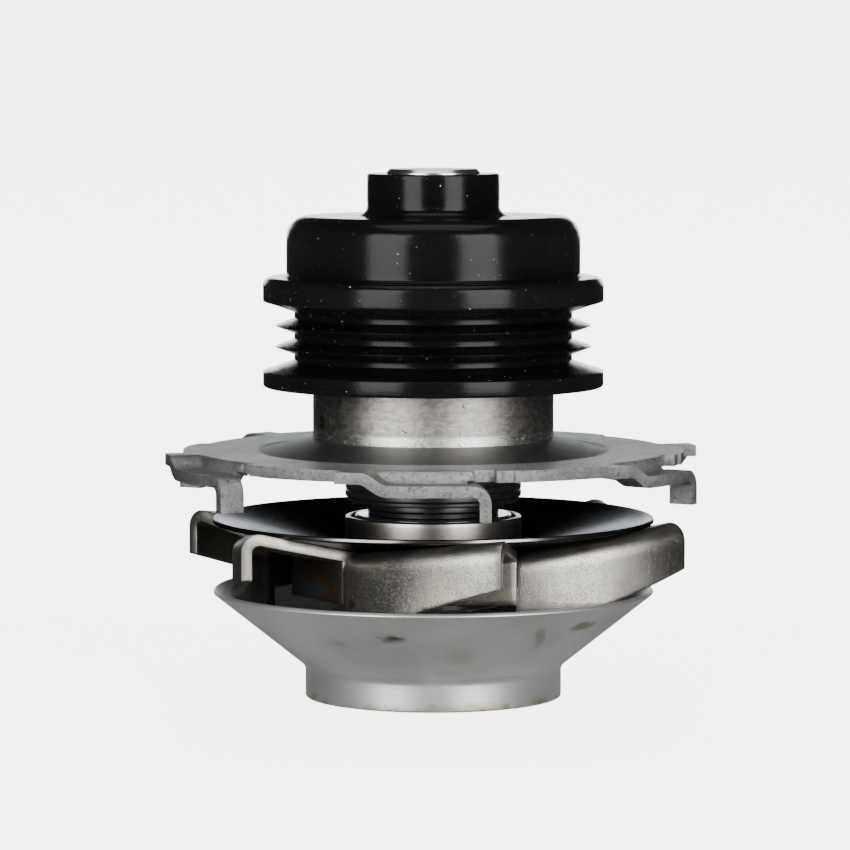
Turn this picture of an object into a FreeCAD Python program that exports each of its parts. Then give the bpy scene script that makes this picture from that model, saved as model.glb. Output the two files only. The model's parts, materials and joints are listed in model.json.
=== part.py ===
import FreeCAD, Part
import math
import os

# Cartridge water pump of a car engine: a belt pulley and a stamped impeller on one bearing
# shaft, which turns in a steel sleeve on a twist-lock plate. All sizes are in millimetres.
# The shaft stands along Z, the impeller's eye ring stands on Z = 0, and azimuths are measured
# from -Y towards +X, in degrees.

# ---- Bearing and shaft -------------------------------------------------------------------
shaft_radius = 9.48            # the raceway length of the integral bearing shaft
journal_radius = 7.96          # both ends of the shaft, where pulley and impeller are pressed on
journal_chamfer = 0.6
shaft_proud = 0.8              # the shaft's end above the pulley's boss
ball_radius = 3.572
ball_count = 8
ball_clearance = 0.05          # between a ball and each raceway
raceway_depth = 0.7
bearing_ring_wall = 3.13       # behind the deepest line of the outer raceway
bearing_length = 25.5
row_inset = 7.2                # a ball row's plane from the ring's end
bearing_seal_thickness = 1.4
bearing_seal_inset = 0.5
cage_wall = 2.2
cage_height = 4.4
cage_clearance = 0.12
running_clearance = 0.05       # seal lips on the shaft

# ---- Sleeve and lock plate ---------------------------------------------------------------
sleeve_wall = 1.2
sleeve_end = 0.5               # the sleeve above the bearing
sleeve_lip = 1.5               # thickness of the turned-in lip that holds the seal
sleeve_lip_drop = 0.6          # the lip's lower face below the plate's flat
weep_chamber = 7.6             # from the plate's flat top to the bearing
weep_hole_radius = 1.25
weep_hole_height = 5.1         # above the plate's flat top
weep_hole_azimuth = -66.5
plate_sheet = 1.9
plate_dish_width = 9.25        # the raised cone round the sleeve
plate_dish_rise = 2.0
plate_dish_step = 0.2
disc_radius = 41.8
shoulder_radius = 42.3
lug_radius = 45.6
lug_count = 6
lug_azimuth = 0.0
lug_flat_start = -20.5         # azimuths in one sector, from the lug's middle
lug_flat_end = -14.5
lug_floor_start = -9.5
shoulder_start = 17.9
lug_drop = 2.0                 # the pressed-down floor below the plate
lug_floor_radius = 41.4        # inner edge of the pressed-down floor
lug_wall_run = 1.4             # radial run of the sloping wall up to the disc
leg_azimuth = 11.5             # middle plane of the bent-down leg
leg_width = 4.2
leg_length = 6.0               # below the plate's flat underside
leg_bend_radius = 3.0

# ---- Shaft seal --------------------------------------------------------------------------
seal_cup_radius = 14.9
seal_cup_height = 6.8
seal_cup_sheet = 0.8
seal_neck_height = 2.5
seal_film = 0.05               # between the carbon face and the mating ring
seal_bore_gap = 0.65           # between fixed seal pieces and the shaft
carbon_inset = 2.1             # the face inside the cup's wall
carrier_height = 1.4
carrier_gap = 0.3
bellows_wall = 0.9
spring_wire = 1.1
spring_turns = 3.5
ring_cup_radius = 14.9
ring_cup_height = 5.7
ring_cup_sheet = 0.8
ring_boot_wall = 0.9
ring_recess = 0.3              # the mating ring's face above its cup's rim
slinger_radius = 12.5
slinger_thickness = 1.6
slinger_height = 2.2           # its lower face above the plate's flat top

# ---- Pulley ------------------------------------------------------------------------------
pulley_gap = 0.8               # radial, over the sleeve
pulley_end_gap = 1.9           # over the sleeve's end
groove_wall = 2.3              # under the grooves
groove_depth = 3.35
groove_pitch = 3.56
groove_count = 3
groove_half_angle = 20.0
groove_floor = 1.12            # width of a groove's floor
flange_height = 1.95           # flanges above the rib tips
flange_knee = 0.2              # where a flange's inner face eases, below the rib tips
upper_flange_width = 4.1
lower_flange_width = 2.7
flange_ease = 0.6              # rise of a flange's inner face from the knee to its edge
flange_round = 1.4
cup_wall = 3.65
cup_height = 28.8
cup_round = 3.5
cup_web = 4.0
boss_wall = 3.24
boss_height = 7.1
boss_fillet = 1.8
boss_seat_gap = 1.0            # the boss's lower face above the shaft's shoulder

# ---- Impeller ----------------------------------------------------------------------------
impeller_height = 25.0         # eye ring to the floor of the back shroud
eye_radius = 21.7
eye_ring_height = 5.3
eye_fillet = 2.0
cone_angle = 38.6
front_sheet = 0.9
edge_round = 0.3
shroud_radius = 37.4
back_sheet = 0.85
dish_angle = 14.2
dish_floor_radius = 15.6
dish_bend_radius = 3.0
vane_count = 6
vane_tip_azimuth = 14.2
vane_span = 45.7               # azimuth from a vane's corner to its tip
vane_sheet = 1.9
vane_overhang = 6.3            # tips beyond the shrouds
vane_corner_inset = 8.9        # corners inside the shrouds' edge
vane_arc_radius = 39.5
vane_bend_radius = 3.0
vane_tip_drop = 8.4            # height of a vane at its tip
vane_strip_length = 17.0       # the leading strip inside the corner
vane_strip_drop = 4.0          # its lower edge below the spider's flat
hub_radius = 12.5
hub_spigot_radius = 10.5
hub_length = 6.5               # below the spider
shaft_below_hub = 1.0
cut_margin = 20.0             # how far cutting blocks run past what they cut

# ---- Radii that follow -------------------------------------------------------------------
pitch_radius = shaft_radius - raceway_depth + ball_clearance + ball_radius
raceway_radius = ball_radius + ball_clearance
outer_race_radius = pitch_radius + raceway_radius
bearing_bore = outer_race_radius - raceway_depth
bearing_radius = outer_race_radius + bearing_ring_wall
sleeve_radius = bearing_radius + sleeve_wall
dish_edge = sleeve_radius + plate_dish_width
pulley_bore = sleeve_radius + pulley_gap
groove_radius = pulley_bore + groove_wall
rib_radius = groove_radius + groove_depth
flange_radius = rib_radius + flange_height
cup_radius = pulley_bore + cup_wall
boss_radius = journal_radius + boss_wall
vane_tip_radius = shroud_radius + vane_overhang
vane_corner_radius = shroud_radius - vane_corner_inset
seal_bore = journal_radius + seal_bore_gap
carbon_radius = seal_cup_radius - seal_cup_sheet - carbon_inset

# ---- Levels that follow, from the eye ring up --------------------------------------------
dish_floor = impeller_height
spider_top = dish_floor - back_sheet
spider_bottom = spider_top - vane_sheet
hub_bottom = spider_bottom - hub_length
shaft_bottom = hub_bottom - shaft_below_hub
ring_cup_top = dish_floor + ring_cup_height
carbon_bottom = ring_cup_top + ring_recess + seal_film
seal_cup_bottom = ring_cup_top + seal_neck_height
plate_bottom = seal_cup_bottom + seal_cup_height
plate_top = plate_bottom + plate_sheet
lip_bottom = plate_bottom - sleeve_lip_drop
lip_top = lip_bottom + sleeve_lip
bearing_bottom = plate_top + weep_chamber
bearing_top = bearing_bottom + bearing_length
sleeve_top = bearing_top + sleeve_end
cup_ceiling = sleeve_top + pulley_end_gap
cup_top = cup_ceiling + cup_web
pulley_bottom = cup_top - cup_height
boss_top = cup_top + boss_height
shaft_top = boss_top + shaft_proud
shoulder_level = cup_ceiling - boss_seat_gap
row_levels = (bearing_bottom + row_inset, bearing_top - row_inset)

Z = FreeCAD.Vector(0, 0, 1)
ORIGIN = FreeCAD.Vector(0, 0, 0)


# ---- Helpers -----------------------------------------------------------------------------
def on_section(r, z):
    """A point of a turned section."""
    return FreeCAD.Vector(r, 0, z)


def on_plan(x, y):
    return FreeCAD.Vector(x, y, 0)


def polar(radius, azimuth):
    """Plan point at an azimuth from -Y towards +X."""
    angle = math.radians(azimuth)
    return FreeCAD.Vector(radius * math.sin(angle), -radius * math.cos(angle), 0)


def rounded_edges(corners, place):
    """Edges of a closed outline; a corner (u, v, radius) with a radius is a tangent arc."""
    points = [place(corner[0], corner[1]) for corner in corners]
    radii = [corner[2] if len(corner) > 2 else 0.0 for corner in corners]
    count = len(points)
    entries, exits, middles = [], [], []
    for index in range(count):
        here = points[index]
        before = (points[index - 1] - here).normalize()
        after = (points[(index + 1) % count] - here).normalize()
        if radii[index] <= 0.0:
            entries.append(here)
            exits.append(here)
            middles.append(None)
            continue
        half = before.getAngle(after) / 2
        reach = radii[index] / math.tan(half)
        bisector = (before + after).normalize()
        entries.append(here + before * reach)
        exits.append(here + after * reach)
        middles.append(here + bisector * (radii[index] / math.sin(half) - radii[index]))
    edges = []
    for index in range(count):
        if middles[index] is not None:
            arc = Part.Arc(entries[index], middles[index], exits[index])
            edges.append(arc.toShape())
        start, end = exits[index], entries[(index + 1) % count]
        if start.distanceToPoint(end) > 1e-6:
            edges.append(Part.LineSegment(start, end).toShape())
    return edges


def turned(corners):
    """Solid of revolution about Z of an outline of (r, z, radius) corners."""
    face = Part.Face(Part.Wire(rounded_edges(corners, on_section)))
    return face.revolve(ORIGIN, Z, 360)


def ring(inner, outer, bottom, top):
    return turned([(inner, bottom), (outer, bottom), (outer, top), (inner, top)])


def sheet_section(path, thickness):
    """Outline of a bent sheet: the path, and the path moved to its left by the thickness.

    The path is a list of (r, z, bend radius); both sides of a bend share its centre."""
    count = len(path)
    normals = []
    for index in range(count - 1):
        run = (path[index + 1][0] - path[index][0], path[index + 1][1] - path[index][1])
        length = math.hypot(run[0], run[1])
        normals.append((-run[1] / length, run[0] / length))
    far_side = []
    for index in range(count):
        first = normals[max(index - 1, 0)]
        second = normals[min(index, count - 2)]
        spread = 1 + first[0] * second[0] + first[1] * second[1]
        move = ((first[0] + second[0]) / spread, (first[1] + second[1]) / spread)
        turn = first[0] * second[1] - first[1] * second[0]
        radius = path[index][2] if len(path[index]) > 2 else 0.0
        if radius > 0.0 and 0 < index < count - 1:
            radius = radius - thickness if turn > 0 else radius + thickness
        far_side.append((path[index][0] + move[0] * thickness,
                         path[index][1] + move[1] * thickness, radius))
    return list(path) + far_side[::-1]


def prism(edges, bottom, top):
    """Upright prism between two levels over a closed plan outline."""
    face = Part.Face(Part.Wire(edges))
    face.translate(FreeCAD.Vector(0, 0, bottom))
    return face.extrude(FreeCAD.Vector(0, 0, top - bottom))


def plan_polygon(points, bottom, top):
    corners = [(point.x, point.y) for point in points]
    return prism(rounded_edges(corners, on_plan), bottom, top)


def sector(start, end, inner, outer, bottom, top):
    """Part of a ring between two azimuths."""
    block = ring(inner, outer, bottom, top)
    far = 2 * outer
    count = max(1, math.ceil((end - start) / 60))
    steps = [start + (end - start) * index / count for index in range(count + 1)]
    wedge = plan_polygon([ORIGIN] + [polar(far, step) for step in steps], bottom, top)
    return block.common(wedge)


def turned_copies(shape, count, first=0.0):
    copies = []
    for index in range(count):
        copy = shape.copy()
        copy.rotate(ORIGIN, Z, first + 360.0 * index / count)
        copies.append(copy)
    return copies


def fused(shapes):
    """One solid from shapes that touch or overlap."""
    return shapes[0].multiFuse(shapes[1:]).removeSplitter()


# ---- Bearing -----------------------------------------------------------------------------
def bearing_shaft():
    shaft = turned([(0, shaft_bottom), (journal_radius, shaft_bottom),
                    (journal_radius, bearing_bottom), (shaft_radius, bearing_bottom),
                    (shaft_radius, shoulder_level), (journal_radius, shoulder_level),
                    (journal_radius, shaft_top), (0, shaft_top)])
    ends = [edge for edge in shaft.Edges if abs(edge.BoundBox.ZLength) < 1e-6
            and (abs(edge.BoundBox.ZMin - shaft_bottom) < 1e-6
                 or abs(edge.BoundBox.ZMin - shaft_top) < 1e-6)]
    shaft = shaft.makeChamfer(journal_chamfer, ends)
    for level in row_levels:
        shaft = shaft.cut(Part.makeTorus(pitch_radius, raceway_radius, FreeCAD.Vector(0, 0, level)))
    return shaft


def bearing_outer_ring():
    seat = bearing_bore + raceway_depth
    seal_depth = bearing_seal_inset + bearing_seal_thickness
    body = turned([(seat, bearing_bottom), (bearing_radius, bearing_bottom, edge_round),
                   (bearing_radius, bearing_top, edge_round), (seat, bearing_top),
                   (seat, bearing_top - seal_depth), (bearing_bore, bearing_top - seal_depth),
                   (bearing_bore, bearing_bottom + seal_depth),
                   (seat, bearing_bottom + seal_depth)])
    for level in row_levels:
        body = body.cut(Part.makeTorus(pitch_radius, raceway_radius, FreeCAD.Vector(0, 0, level)))
    return body


def bearing_seal(bottom):
    """Rubber-faced disc between the outer ring's seat and the shaft."""
    return ring(shaft_radius + running_clearance, bearing_bore + raceway_depth,
                bottom, bottom + bearing_seal_thickness)


def ball_row(level):
    ball = Part.makeSphere(ball_radius, FreeCAD.Vector(pitch_radius, 0, level))
    return Part.makeCompound(turned_copies(ball, ball_count))


def ball_cage(level, open_side):
    """Crown cage: a ring beside the balls with a round pocket for each."""
    inner = pitch_radius - cage_wall / 2
    reach = ball_radius + cage_clearance
    back = level - open_side * (reach + cage_clearance)
    front = back + open_side * cage_height
    body = ring(inner, inner + cage_wall, min(back, front), max(back, front))
    pocket = Part.makeSphere(reach, FreeCAD.Vector(pitch_radius, 0, level))
    for cut in turned_copies(pocket, ball_count):
        body = body.cut(cut)
    return body


# ---- Sleeve and lock plate ---------------------------------------------------------------
def bearing_housing():
    body = turned([(seal_cup_radius, lip_bottom), (sleeve_radius, lip_bottom),
                   (sleeve_radius, sleeve_top, edge_round), (bearing_radius, sleeve_top),
                   (bearing_radius, lip_top), (seal_cup_radius, lip_top)])
    drill = Part.makeCylinder(weep_hole_radius, 2 * sleeve_radius,
                              FreeCAD.Vector(0, 0, plate_top + weep_hole_height),
                              polar(1, weep_hole_azimuth))
    return body.cut(drill)


def plate_disc():
    """The dish round the sleeve and the flat land, out to the disc's edge."""
    path = [(sleeve_radius, plate_top + plate_dish_rise - plate_sheet),
            (dish_edge, plate_bottom - plate_dish_step),
            (dish_edge + plate_sheet / 2, plate_bottom),
            (disc_radius, plate_bottom)]
    section = sheet_section(path, plate_sheet)
    section[-1] = (sleeve_radius, plate_top + plate_dish_rise)
    section[4] = (disc_radius, plate_top)
    return turned(section)


def lug_strip():
    """One lug seen along its radius: flat, step down, floor and bent-down leg."""
    middle = (lug_radius + lug_floor_radius) / 2
    across = lambda azimuth: middle * math.sin(math.radians(azimuth))
    leg_face = across(leg_azimuth) + plate_sheet / 2
    bend = leg_bend_radius
    path = [(across(lug_flat_start) - cut_margin, plate_bottom),
            (across(lug_flat_end), plate_bottom, bend),
            (across(lug_floor_start), plate_bottom - lug_drop, bend - plate_sheet),
            (leg_face - plate_sheet, plate_bottom - lug_drop, bend - plate_sheet),
            (leg_face - plate_sheet, plate_bottom - leg_length)]
    section = sheet_section(path, plate_sheet)
    edges = rounded_edges(section, lambda u, v: FreeCAD.Vector(u, 0, v))
    strip = Part.Face(Part.Wire(edges))
    strip.translate(FreeCAD.Vector(0, -lug_radius - cut_margin, 0))
    return strip.extrude(FreeCAD.Vector(0, lug_radius, 0))


def plate_lug():
    low, high = plate_bottom - leg_length - 1, plate_top + 1
    strip = lug_strip()
    leg_inner = lug_radius - leg_width
    floor_end = leg_azimuth - math.degrees(plate_sheet / lug_radius)
    flat = strip.common(sector(lug_flat_start, lug_floor_start, lug_floor_radius, lug_radius,
                               low, high))
    floor = strip.common(sector(lug_floor_start, floor_end, lug_floor_radius, lug_radius,
                                plate_bottom - lug_drop - 1, high))
    leg = strip.common(sector(floor_end, leg_azimuth + 5, leg_inner, lug_radius, low, high))
    wall_section = [(lug_floor_radius - lug_wall_run, plate_bottom),
                    (lug_floor_radius, plate_bottom - lug_drop),
                    (lug_floor_radius, plate_top - lug_drop),
                    (lug_floor_radius - lug_wall_run, plate_top)]
    wall = turned(wall_section).common(sector(lug_floor_start, floor_end, lug_floor_radius / 2,
                                              lug_radius, low, high))
    return [flat, floor, leg, wall]


def lock_plate():
    """Twist-lock plate: a disc with pressed-down lugs, each ending in a bent-down leg."""
    low, high = plate_bottom - lug_drop - 1, plate_top + 1
    notch_end = leg_azimuth + math.degrees(plate_sheet / lug_radius)
    pocket = sector(lug_floor_start, notch_end, lug_floor_radius - lug_wall_run,
                    lug_radius + 1, low, high)
    jog = sector(lug_flat_end, lug_floor_start, lug_floor_radius, lug_radius + 1, low, high)
    sector_pitch = 360.0 / lug_count
    step = sector(shoulder_start, lug_flat_start + sector_pitch, disc_radius - 1,
                  shoulder_radius, plate_bottom, plate_top)
    body = plate_disc()
    for cut in turned_copies(pocket.fuse(jog), lug_count, lug_azimuth):
        body = body.cut(cut)
    pieces = []
    for piece in plate_lug() + [step]:
        pieces += turned_copies(piece, lug_count, lug_azimuth)
    return fused([body] + pieces)


# ---- Shaft seal --------------------------------------------------------------------------
def seal_cup():
    """Pressed into the sleeve's lip, open downwards, with its roof round the shaft."""
    top = lip_top
    inner = seal_cup_radius - seal_cup_sheet
    return turned([(inner, seal_cup_bottom), (seal_cup_radius, seal_cup_bottom, edge_round),
                   (seal_cup_radius, top), (seal_bore, top), (seal_bore, top - seal_cup_sheet),
                   (inner, top - seal_cup_sheet)])


def carrier_bottom():
    return seal_cup_bottom + carrier_gap


def carbon_face():
    return ring(seal_bore, carbon_radius, carbon_bottom, carrier_bottom())


def seal_face_carrier():
    return ring(seal_bore, seal_cup_radius - seal_cup_sheet - carrier_gap,
                carrier_bottom(), carrier_bottom() + carrier_height)


def seal_bellows():
    """Rubber bellows between the carrier and the cup's roof."""
    bottom = carrier_bottom() + carrier_height
    top = lip_top - seal_cup_sheet
    middle = (bottom + top) / 2
    path = [(seal_bore, bottom), (seal_bore + bellows_wall, middle, bellows_wall),
            (seal_bore, top)]
    inner_wall = [(point[0] + 0.1, point[1]) for point in path]
    outer_wall = [(point[0] + 0.1 + bellows_wall, point[1]) for point in path[::-1]]
    return turned(inner_wall + outer_wall)


def seal_spring():
    """Coil spring on a helix that is built up in short lengths, each a part of one turn."""
    bottom = carrier_bottom() + carrier_height + spring_wire / 2
    top = lip_top - seal_cup_sheet - spring_wire / 2
    radius = seal_cup_radius - seal_cup_sheet - carrier_gap - spring_wire / 2
    count = math.ceil(spring_turns * 4)
    rise, turn = (top - bottom) / count, 360.0 * spring_turns / count
    edges = []
    for index in range(count):
        length = Part.makeHelix((top - bottom) / spring_turns, rise, radius)
        length.rotate(ORIGIN, Z, turn * index)
        length.translate(FreeCAD.Vector(0, 0, bottom + rise * index))
        edges += length.Edges
    circle = Part.makeCircle(spring_wire / 2, FreeCAD.Vector(radius, 0, bottom),
                             FreeCAD.Vector(0, 1, 0))
    return Part.Wire(Part.__sortEdges__(edges)).makePipeShell([Part.Wire(circle)], True, True)


def mating_ring_cup():
    path = [(journal_radius, dish_floor), (ring_cup_radius, dish_floor, 1.2),
            (ring_cup_radius, ring_cup_top)]
    return turned(sheet_section(path, ring_cup_sheet))


def mating_ring_boot():
    outer = ring_cup_radius - ring_cup_sheet
    floor = dish_floor + ring_cup_sheet
    return turned([(journal_radius, floor), (outer, floor, 0.4), (outer, ring_cup_top - 0.4),
                   (outer - ring_boot_wall, ring_cup_top - 0.4),
                   (outer - ring_boot_wall, floor + ring_boot_wall),
                   (journal_radius, floor + ring_boot_wall)])


def mating_ring():
    outer = ring_cup_radius - ring_cup_sheet - ring_boot_wall
    floor = dish_floor + ring_cup_sheet + ring_boot_wall
    return turned([(journal_radius, floor), (outer, floor),
                   (outer, ring_cup_top + ring_recess, edge_round),
                   (journal_radius, ring_cup_top + ring_recess)])


def slinger():
    bottom = plate_top + slinger_height
    return turned([(journal_radius, bottom), (journal_radius + 2, bottom),
                   (slinger_radius, bottom + slinger_thickness),
                   (slinger_radius, bottom + slinger_thickness + 1),
                   (journal_radius, bottom + slinger_thickness + 1)])


# ---- Pulley ------------------------------------------------------------------------------
def groove_outline():
    """Outline from the lower flange's edge up through the grooves to the upper flange."""
    slope = math.tan(math.radians(groove_half_angle))
    upper_face = cup_outline_flange() - upper_flange_width
    lower_face = pulley_bottom + lower_flange_width
    middle = (upper_face + lower_face) / 2
    knee_radius = rib_radius - flange_knee
    points = [(flange_radius, lower_face)]
    first = middle - groove_pitch * (groove_count - 1) / 2
    half = groove_floor / 2
    knee_rise = half + (knee_radius - groove_radius) * slope
    points.append((knee_radius, first - knee_rise))
    for index in range(groove_count):
        level = first + groove_pitch * index
        points.append((groove_radius, level - half))
        points.append((groove_radius, level + half))
        if index < groove_count - 1:
            points.append((rib_radius, level + groove_pitch / 2))
    points.append((knee_radius, first + groove_pitch * (groove_count - 1) + knee_rise))
    points.append((flange_radius, upper_face))
    return points


def cup_outline_flange():
    """Level of the upper flange's top face."""
    slope = math.tan(math.radians(groove_half_angle))
    grooves = groove_pitch * (groove_count - 1) + groove_floor
    grooves += 2 * (groove_depth - flange_knee) * slope + 2 * flange_ease
    return pulley_bottom + lower_flange_width + grooves + upper_flange_width


def drive_pulley():
    flange_top = cup_outline_flange()
    corners = [(pulley_bore, pulley_bottom), (flange_radius, pulley_bottom, 0.4)]
    corners += groove_outline()
    corners += [(flange_radius, flange_top, flange_round), (cup_radius, flange_top, 0.6),
                (cup_radius, cup_top, cup_round), (boss_radius, cup_top, boss_fillet),
                (boss_radius, boss_top, edge_round), (journal_radius, boss_top),
                (journal_radius, shoulder_level), (boss_radius, shoulder_level),
                (boss_radius, cup_ceiling), (pulley_bore, cup_ceiling, 2.0)]
    return turned(corners)


# ---- Impeller ----------------------------------------------------------------------------
def cone_rise(run):
    return run * math.tan(math.radians(cone_angle))


def dish_rise(run):
    return run * math.tan(math.radians(dish_angle))


def front_shroud_path():
    """Outer surface of the front shroud, from the eye ring's foot to the rim."""
    rim = eye_ring_height + cone_rise(shroud_radius - eye_radius)
    return [(eye_radius, 0.0), (eye_radius, eye_ring_height, eye_fillet), (shroud_radius, rim)]


def impeller_front_shroud():
    section = sheet_section(front_shroud_path(), front_sheet)
    section[0] = (section[0][0], section[0][1], edge_round)
    section[-1] = (section[-1][0], section[-1][1], edge_round)
    section[2] = (section[2][0], section[2][1], edge_round)
    section[3] = (section[3][0], section[3][1], edge_round)
    return turned(section)


def impeller_back_shroud():
    rim = dish_floor + dish_rise(shroud_radius - dish_floor_radius)
    path = [(hub_spigot_radius, dish_floor - back_sheet),
            (dish_floor_radius, dish_floor - back_sheet, dish_bend_radius + back_sheet),
            (shroud_radius, rim - back_sheet)]
    section = sheet_section(path, back_sheet)
    section[2] = (section[2][0], section[2][1], edge_round)
    section[3] = (section[3][0], section[3][1], edge_round)
    return turned(section)


def spider_surface(drop):
    """Everything below the spider's upper surface lowered by a drop, to well past the tips."""
    far = vane_tip_radius + cut_margin
    level = spider_top - drop
    return turned([(0, -cut_margin), (far, -cut_margin),
                   (far, level + dish_rise(far - dish_floor_radius)),
                   (dish_floor_radius, level), (0, level)])


def under_vanes():
    """Space below the vanes: the front shroud, and outside it a slope up to the tips."""
    inner = sheet_section(front_shroud_path(), front_sheet)[3:]
    rim, bend, foot = inner[0], inner[1], inner[2]
    tip_level = (spider_top + dish_rise(vane_tip_radius - dish_floor_radius) - vane_tip_drop)
    slope = (tip_level - rim[1]) / (vane_tip_radius - rim[0])
    far = vane_tip_radius + cut_margin
    return turned([(0, -2 * cut_margin), (far, -2 * cut_margin),
                   (far, rim[1] + slope * (far - rim[0])), (rim[0], rim[1]),
                   (bend[0], bend[1], bend[2]), (foot[0], foot[1]), (0, foot[1])])


def vane_frame():
    """Corner, tip and arc centre of the first vane's outer face."""
    corner = polar(vane_corner_radius, vane_tip_azimuth - vane_span)
    tip = polar(vane_tip_radius, vane_tip_azimuth)
    chord = tip - corner
    inward = FreeCAD.Vector(-chord.y, chord.x, 0).normalize()
    height = math.sqrt(vane_arc_radius ** 2 - (chord.Length / 2) ** 2)
    return corner, tip, (corner + tip) * 0.5 + inward * height


def bent_block(centre, radius, drop, bend):
    """Cylinder on a vane's circle, under the spider's lowered surface, its top edge rounded."""
    block = Part.makeCylinder(radius, 4 * impeller_height,
                              FreeCAD.Vector(centre.x, centre.y, -cut_margin))
    block = block.common(spider_surface(drop))
    rim = [edge for edge in block.Edges if edge.BoundBox.ZMin > 0
           and abs(flat_distance(edge.valueAt(edge.FirstParameter), centre) - radius) < 1e-3
           and abs(flat_distance(edge.valueAt(edge.LastParameter), centre) - radius) < 1e-3]
    return block.makeFillet(bend, rim)


def flat_distance(point, centre):
    return math.hypot(point.x - centre.x, point.y - centre.y)


def vane_foot():
    """Unit vector through the sheet at the vane's corner, towards its arc's centre."""
    corner, tip, centre = vane_frame()
    return (centre - corner).normalize()


def vane_arm():
    """One arm of the spider with its vane bent down from it, a sheet of even thickness."""
    corner, tip, centre = vane_frame()
    through = vane_foot()
    pitch = FreeCAD.Rotation(Z, 360.0 / vane_count)
    next_corner = pitch.multVec(corner)
    next_inside = pitch.multVec(corner + through * vane_sheet)
    sheet = bent_block(centre, vane_arc_radius, 0.0, vane_bend_radius)
    sheet = sheet.cut(bent_block(centre, vane_arc_radius - vane_sheet, vane_sheet,
                                 vane_bend_radius - vane_sheet))
    past_corner = corner - through * cut_margin
    past_tip = tip + (tip - next_corner).normalize() * cut_margin
    blank = plan_polygon([ORIGIN, corner + through * vane_sheet, past_corner,
                          past_corner + (tip - corner), past_tip, next_corner, next_inside],
                         -cut_margin, impeller_height + cut_margin)
    return sheet.common(blank)


def vane_strip():
    """Straight leading strip that runs on from the vane's corner, under the next arm."""
    corner, tip, centre = vane_frame()
    through = vane_foot()
    back = FreeCAD.Vector(through.y, -through.x, 0)
    if back.dot(tip - corner) > 0:
        back = back * -1
    inside = corner + through * vane_sheet
    bottom = spider_bottom - vane_strip_drop
    strip = plan_polygon([corner, corner + back * vane_strip_length,
                          inside + back * vane_strip_length, inside],
                         bottom, impeller_height + cut_margin)
    return strip.common(spider_surface(vane_sheet / 2))


def vane_spider():
    """Six arms with bent-down vanes, stamped from one sheet, with a bore for the hub."""
    pieces = turned_copies(vane_arm(), vane_count) + turned_copies(vane_strip(), vane_count)
    body = fused(pieces)
    body = body.cut(Part.makeCylinder(hub_spigot_radius, 4 * impeller_height,
                                      FreeCAD.Vector(0, 0, -impeller_height)))
    return body.cut(under_vanes())


def impeller_hub():
    return turned([(journal_radius, hub_bottom), (hub_radius, hub_bottom, edge_round),
                   (hub_radius, spider_bottom), (hub_spigot_radius, spider_bottom),
                   (hub_spigot_radius, dish_floor), (journal_radius, dish_floor)])


# ---- Everything --------------------------------------------------------------------------
def all_pieces():
    lower_row, upper_row = row_levels
    seal_depth = bearing_seal_inset + bearing_seal_thickness
    return {
        "bearing_housing": bearing_housing(),
        "lock_plate": lock_plate(),
        "bearing_outer_ring": bearing_outer_ring(),
        "bearing_seal_lower": bearing_seal(bearing_bottom + bearing_seal_inset),
        "bearing_seal_upper": bearing_seal(bearing_top - seal_depth),
        "seal_cup": seal_cup(),
        "seal_bellows": seal_bellows(),
        "seal_spring": seal_spring(),
        "seal_face_carrier": seal_face_carrier(),
        "carbon_face": carbon_face(),
        "bearing_shaft": bearing_shaft(),
        "drive_pulley": drive_pulley(),
        "slinger": slinger(),
        "mating_ring_cup": mating_ring_cup(),
        "mating_ring_boot": mating_ring_boot(),
        "mating_ring": mating_ring(),
        "impeller_hub": impeller_hub(),
        "impeller_back_shroud": impeller_back_shroud(),
        "vane_spider": vane_spider(),
        "impeller_front_shroud": impeller_front_shroud(),
        "ball_row_lower": ball_row(lower_row),
        "ball_row_upper": ball_row(upper_row),
        "ball_cage_lower": ball_cage(lower_row, 1),
        "ball_cage_upper": ball_cage(upper_row, -1),
    }


os.makedirs("parts", exist_ok=True)
for name, shape in all_pieces().items():
    shape.exportStep("parts/%s.step" % name)
    box = shape.BoundBox
    print("%-22s solids %d valid %s volume %9.1f  z %6.2f to %6.2f  r %5.2f" % (
        name, len(shape.Solids), shape.isValid(), shape.Volume, box.ZMin, box.ZMax, box.XMax))
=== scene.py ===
# %% [markdown]
# # A cartridge water pump, dressed round its CAD frame
# The pump is a belt pulley and a stamped impeller on one bearing shaft, which turns in a steel
# sleeve on a twist-lock plate. The CAD frame fixes every size and every moving body. This
# notebook makes the visible surfaces again as numpy surfaces, finer than a CAD mesh, and gives
# each one the finish of its own metal.

# %% Load the frame
import json
import math

import bmesh
import bpy
import numpy as np
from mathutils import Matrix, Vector


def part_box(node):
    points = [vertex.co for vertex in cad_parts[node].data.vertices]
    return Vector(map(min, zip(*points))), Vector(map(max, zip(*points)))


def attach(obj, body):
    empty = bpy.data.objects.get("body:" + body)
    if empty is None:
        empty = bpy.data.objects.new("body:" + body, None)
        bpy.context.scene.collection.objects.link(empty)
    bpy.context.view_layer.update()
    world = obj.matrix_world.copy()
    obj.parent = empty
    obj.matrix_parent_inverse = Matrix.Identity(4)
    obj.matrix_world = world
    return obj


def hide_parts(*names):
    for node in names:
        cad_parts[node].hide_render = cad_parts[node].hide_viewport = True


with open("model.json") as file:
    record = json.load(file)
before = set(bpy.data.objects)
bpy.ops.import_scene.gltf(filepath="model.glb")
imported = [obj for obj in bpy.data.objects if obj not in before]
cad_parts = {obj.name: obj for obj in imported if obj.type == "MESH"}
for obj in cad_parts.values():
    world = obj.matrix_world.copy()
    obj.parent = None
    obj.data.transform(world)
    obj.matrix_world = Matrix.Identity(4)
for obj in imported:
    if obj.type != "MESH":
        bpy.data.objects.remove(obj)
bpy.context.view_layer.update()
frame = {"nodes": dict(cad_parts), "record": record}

MM = 0.001                      # the frame is in metres, the shapes below are in millimetres
nodes = frame["nodes"]

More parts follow.
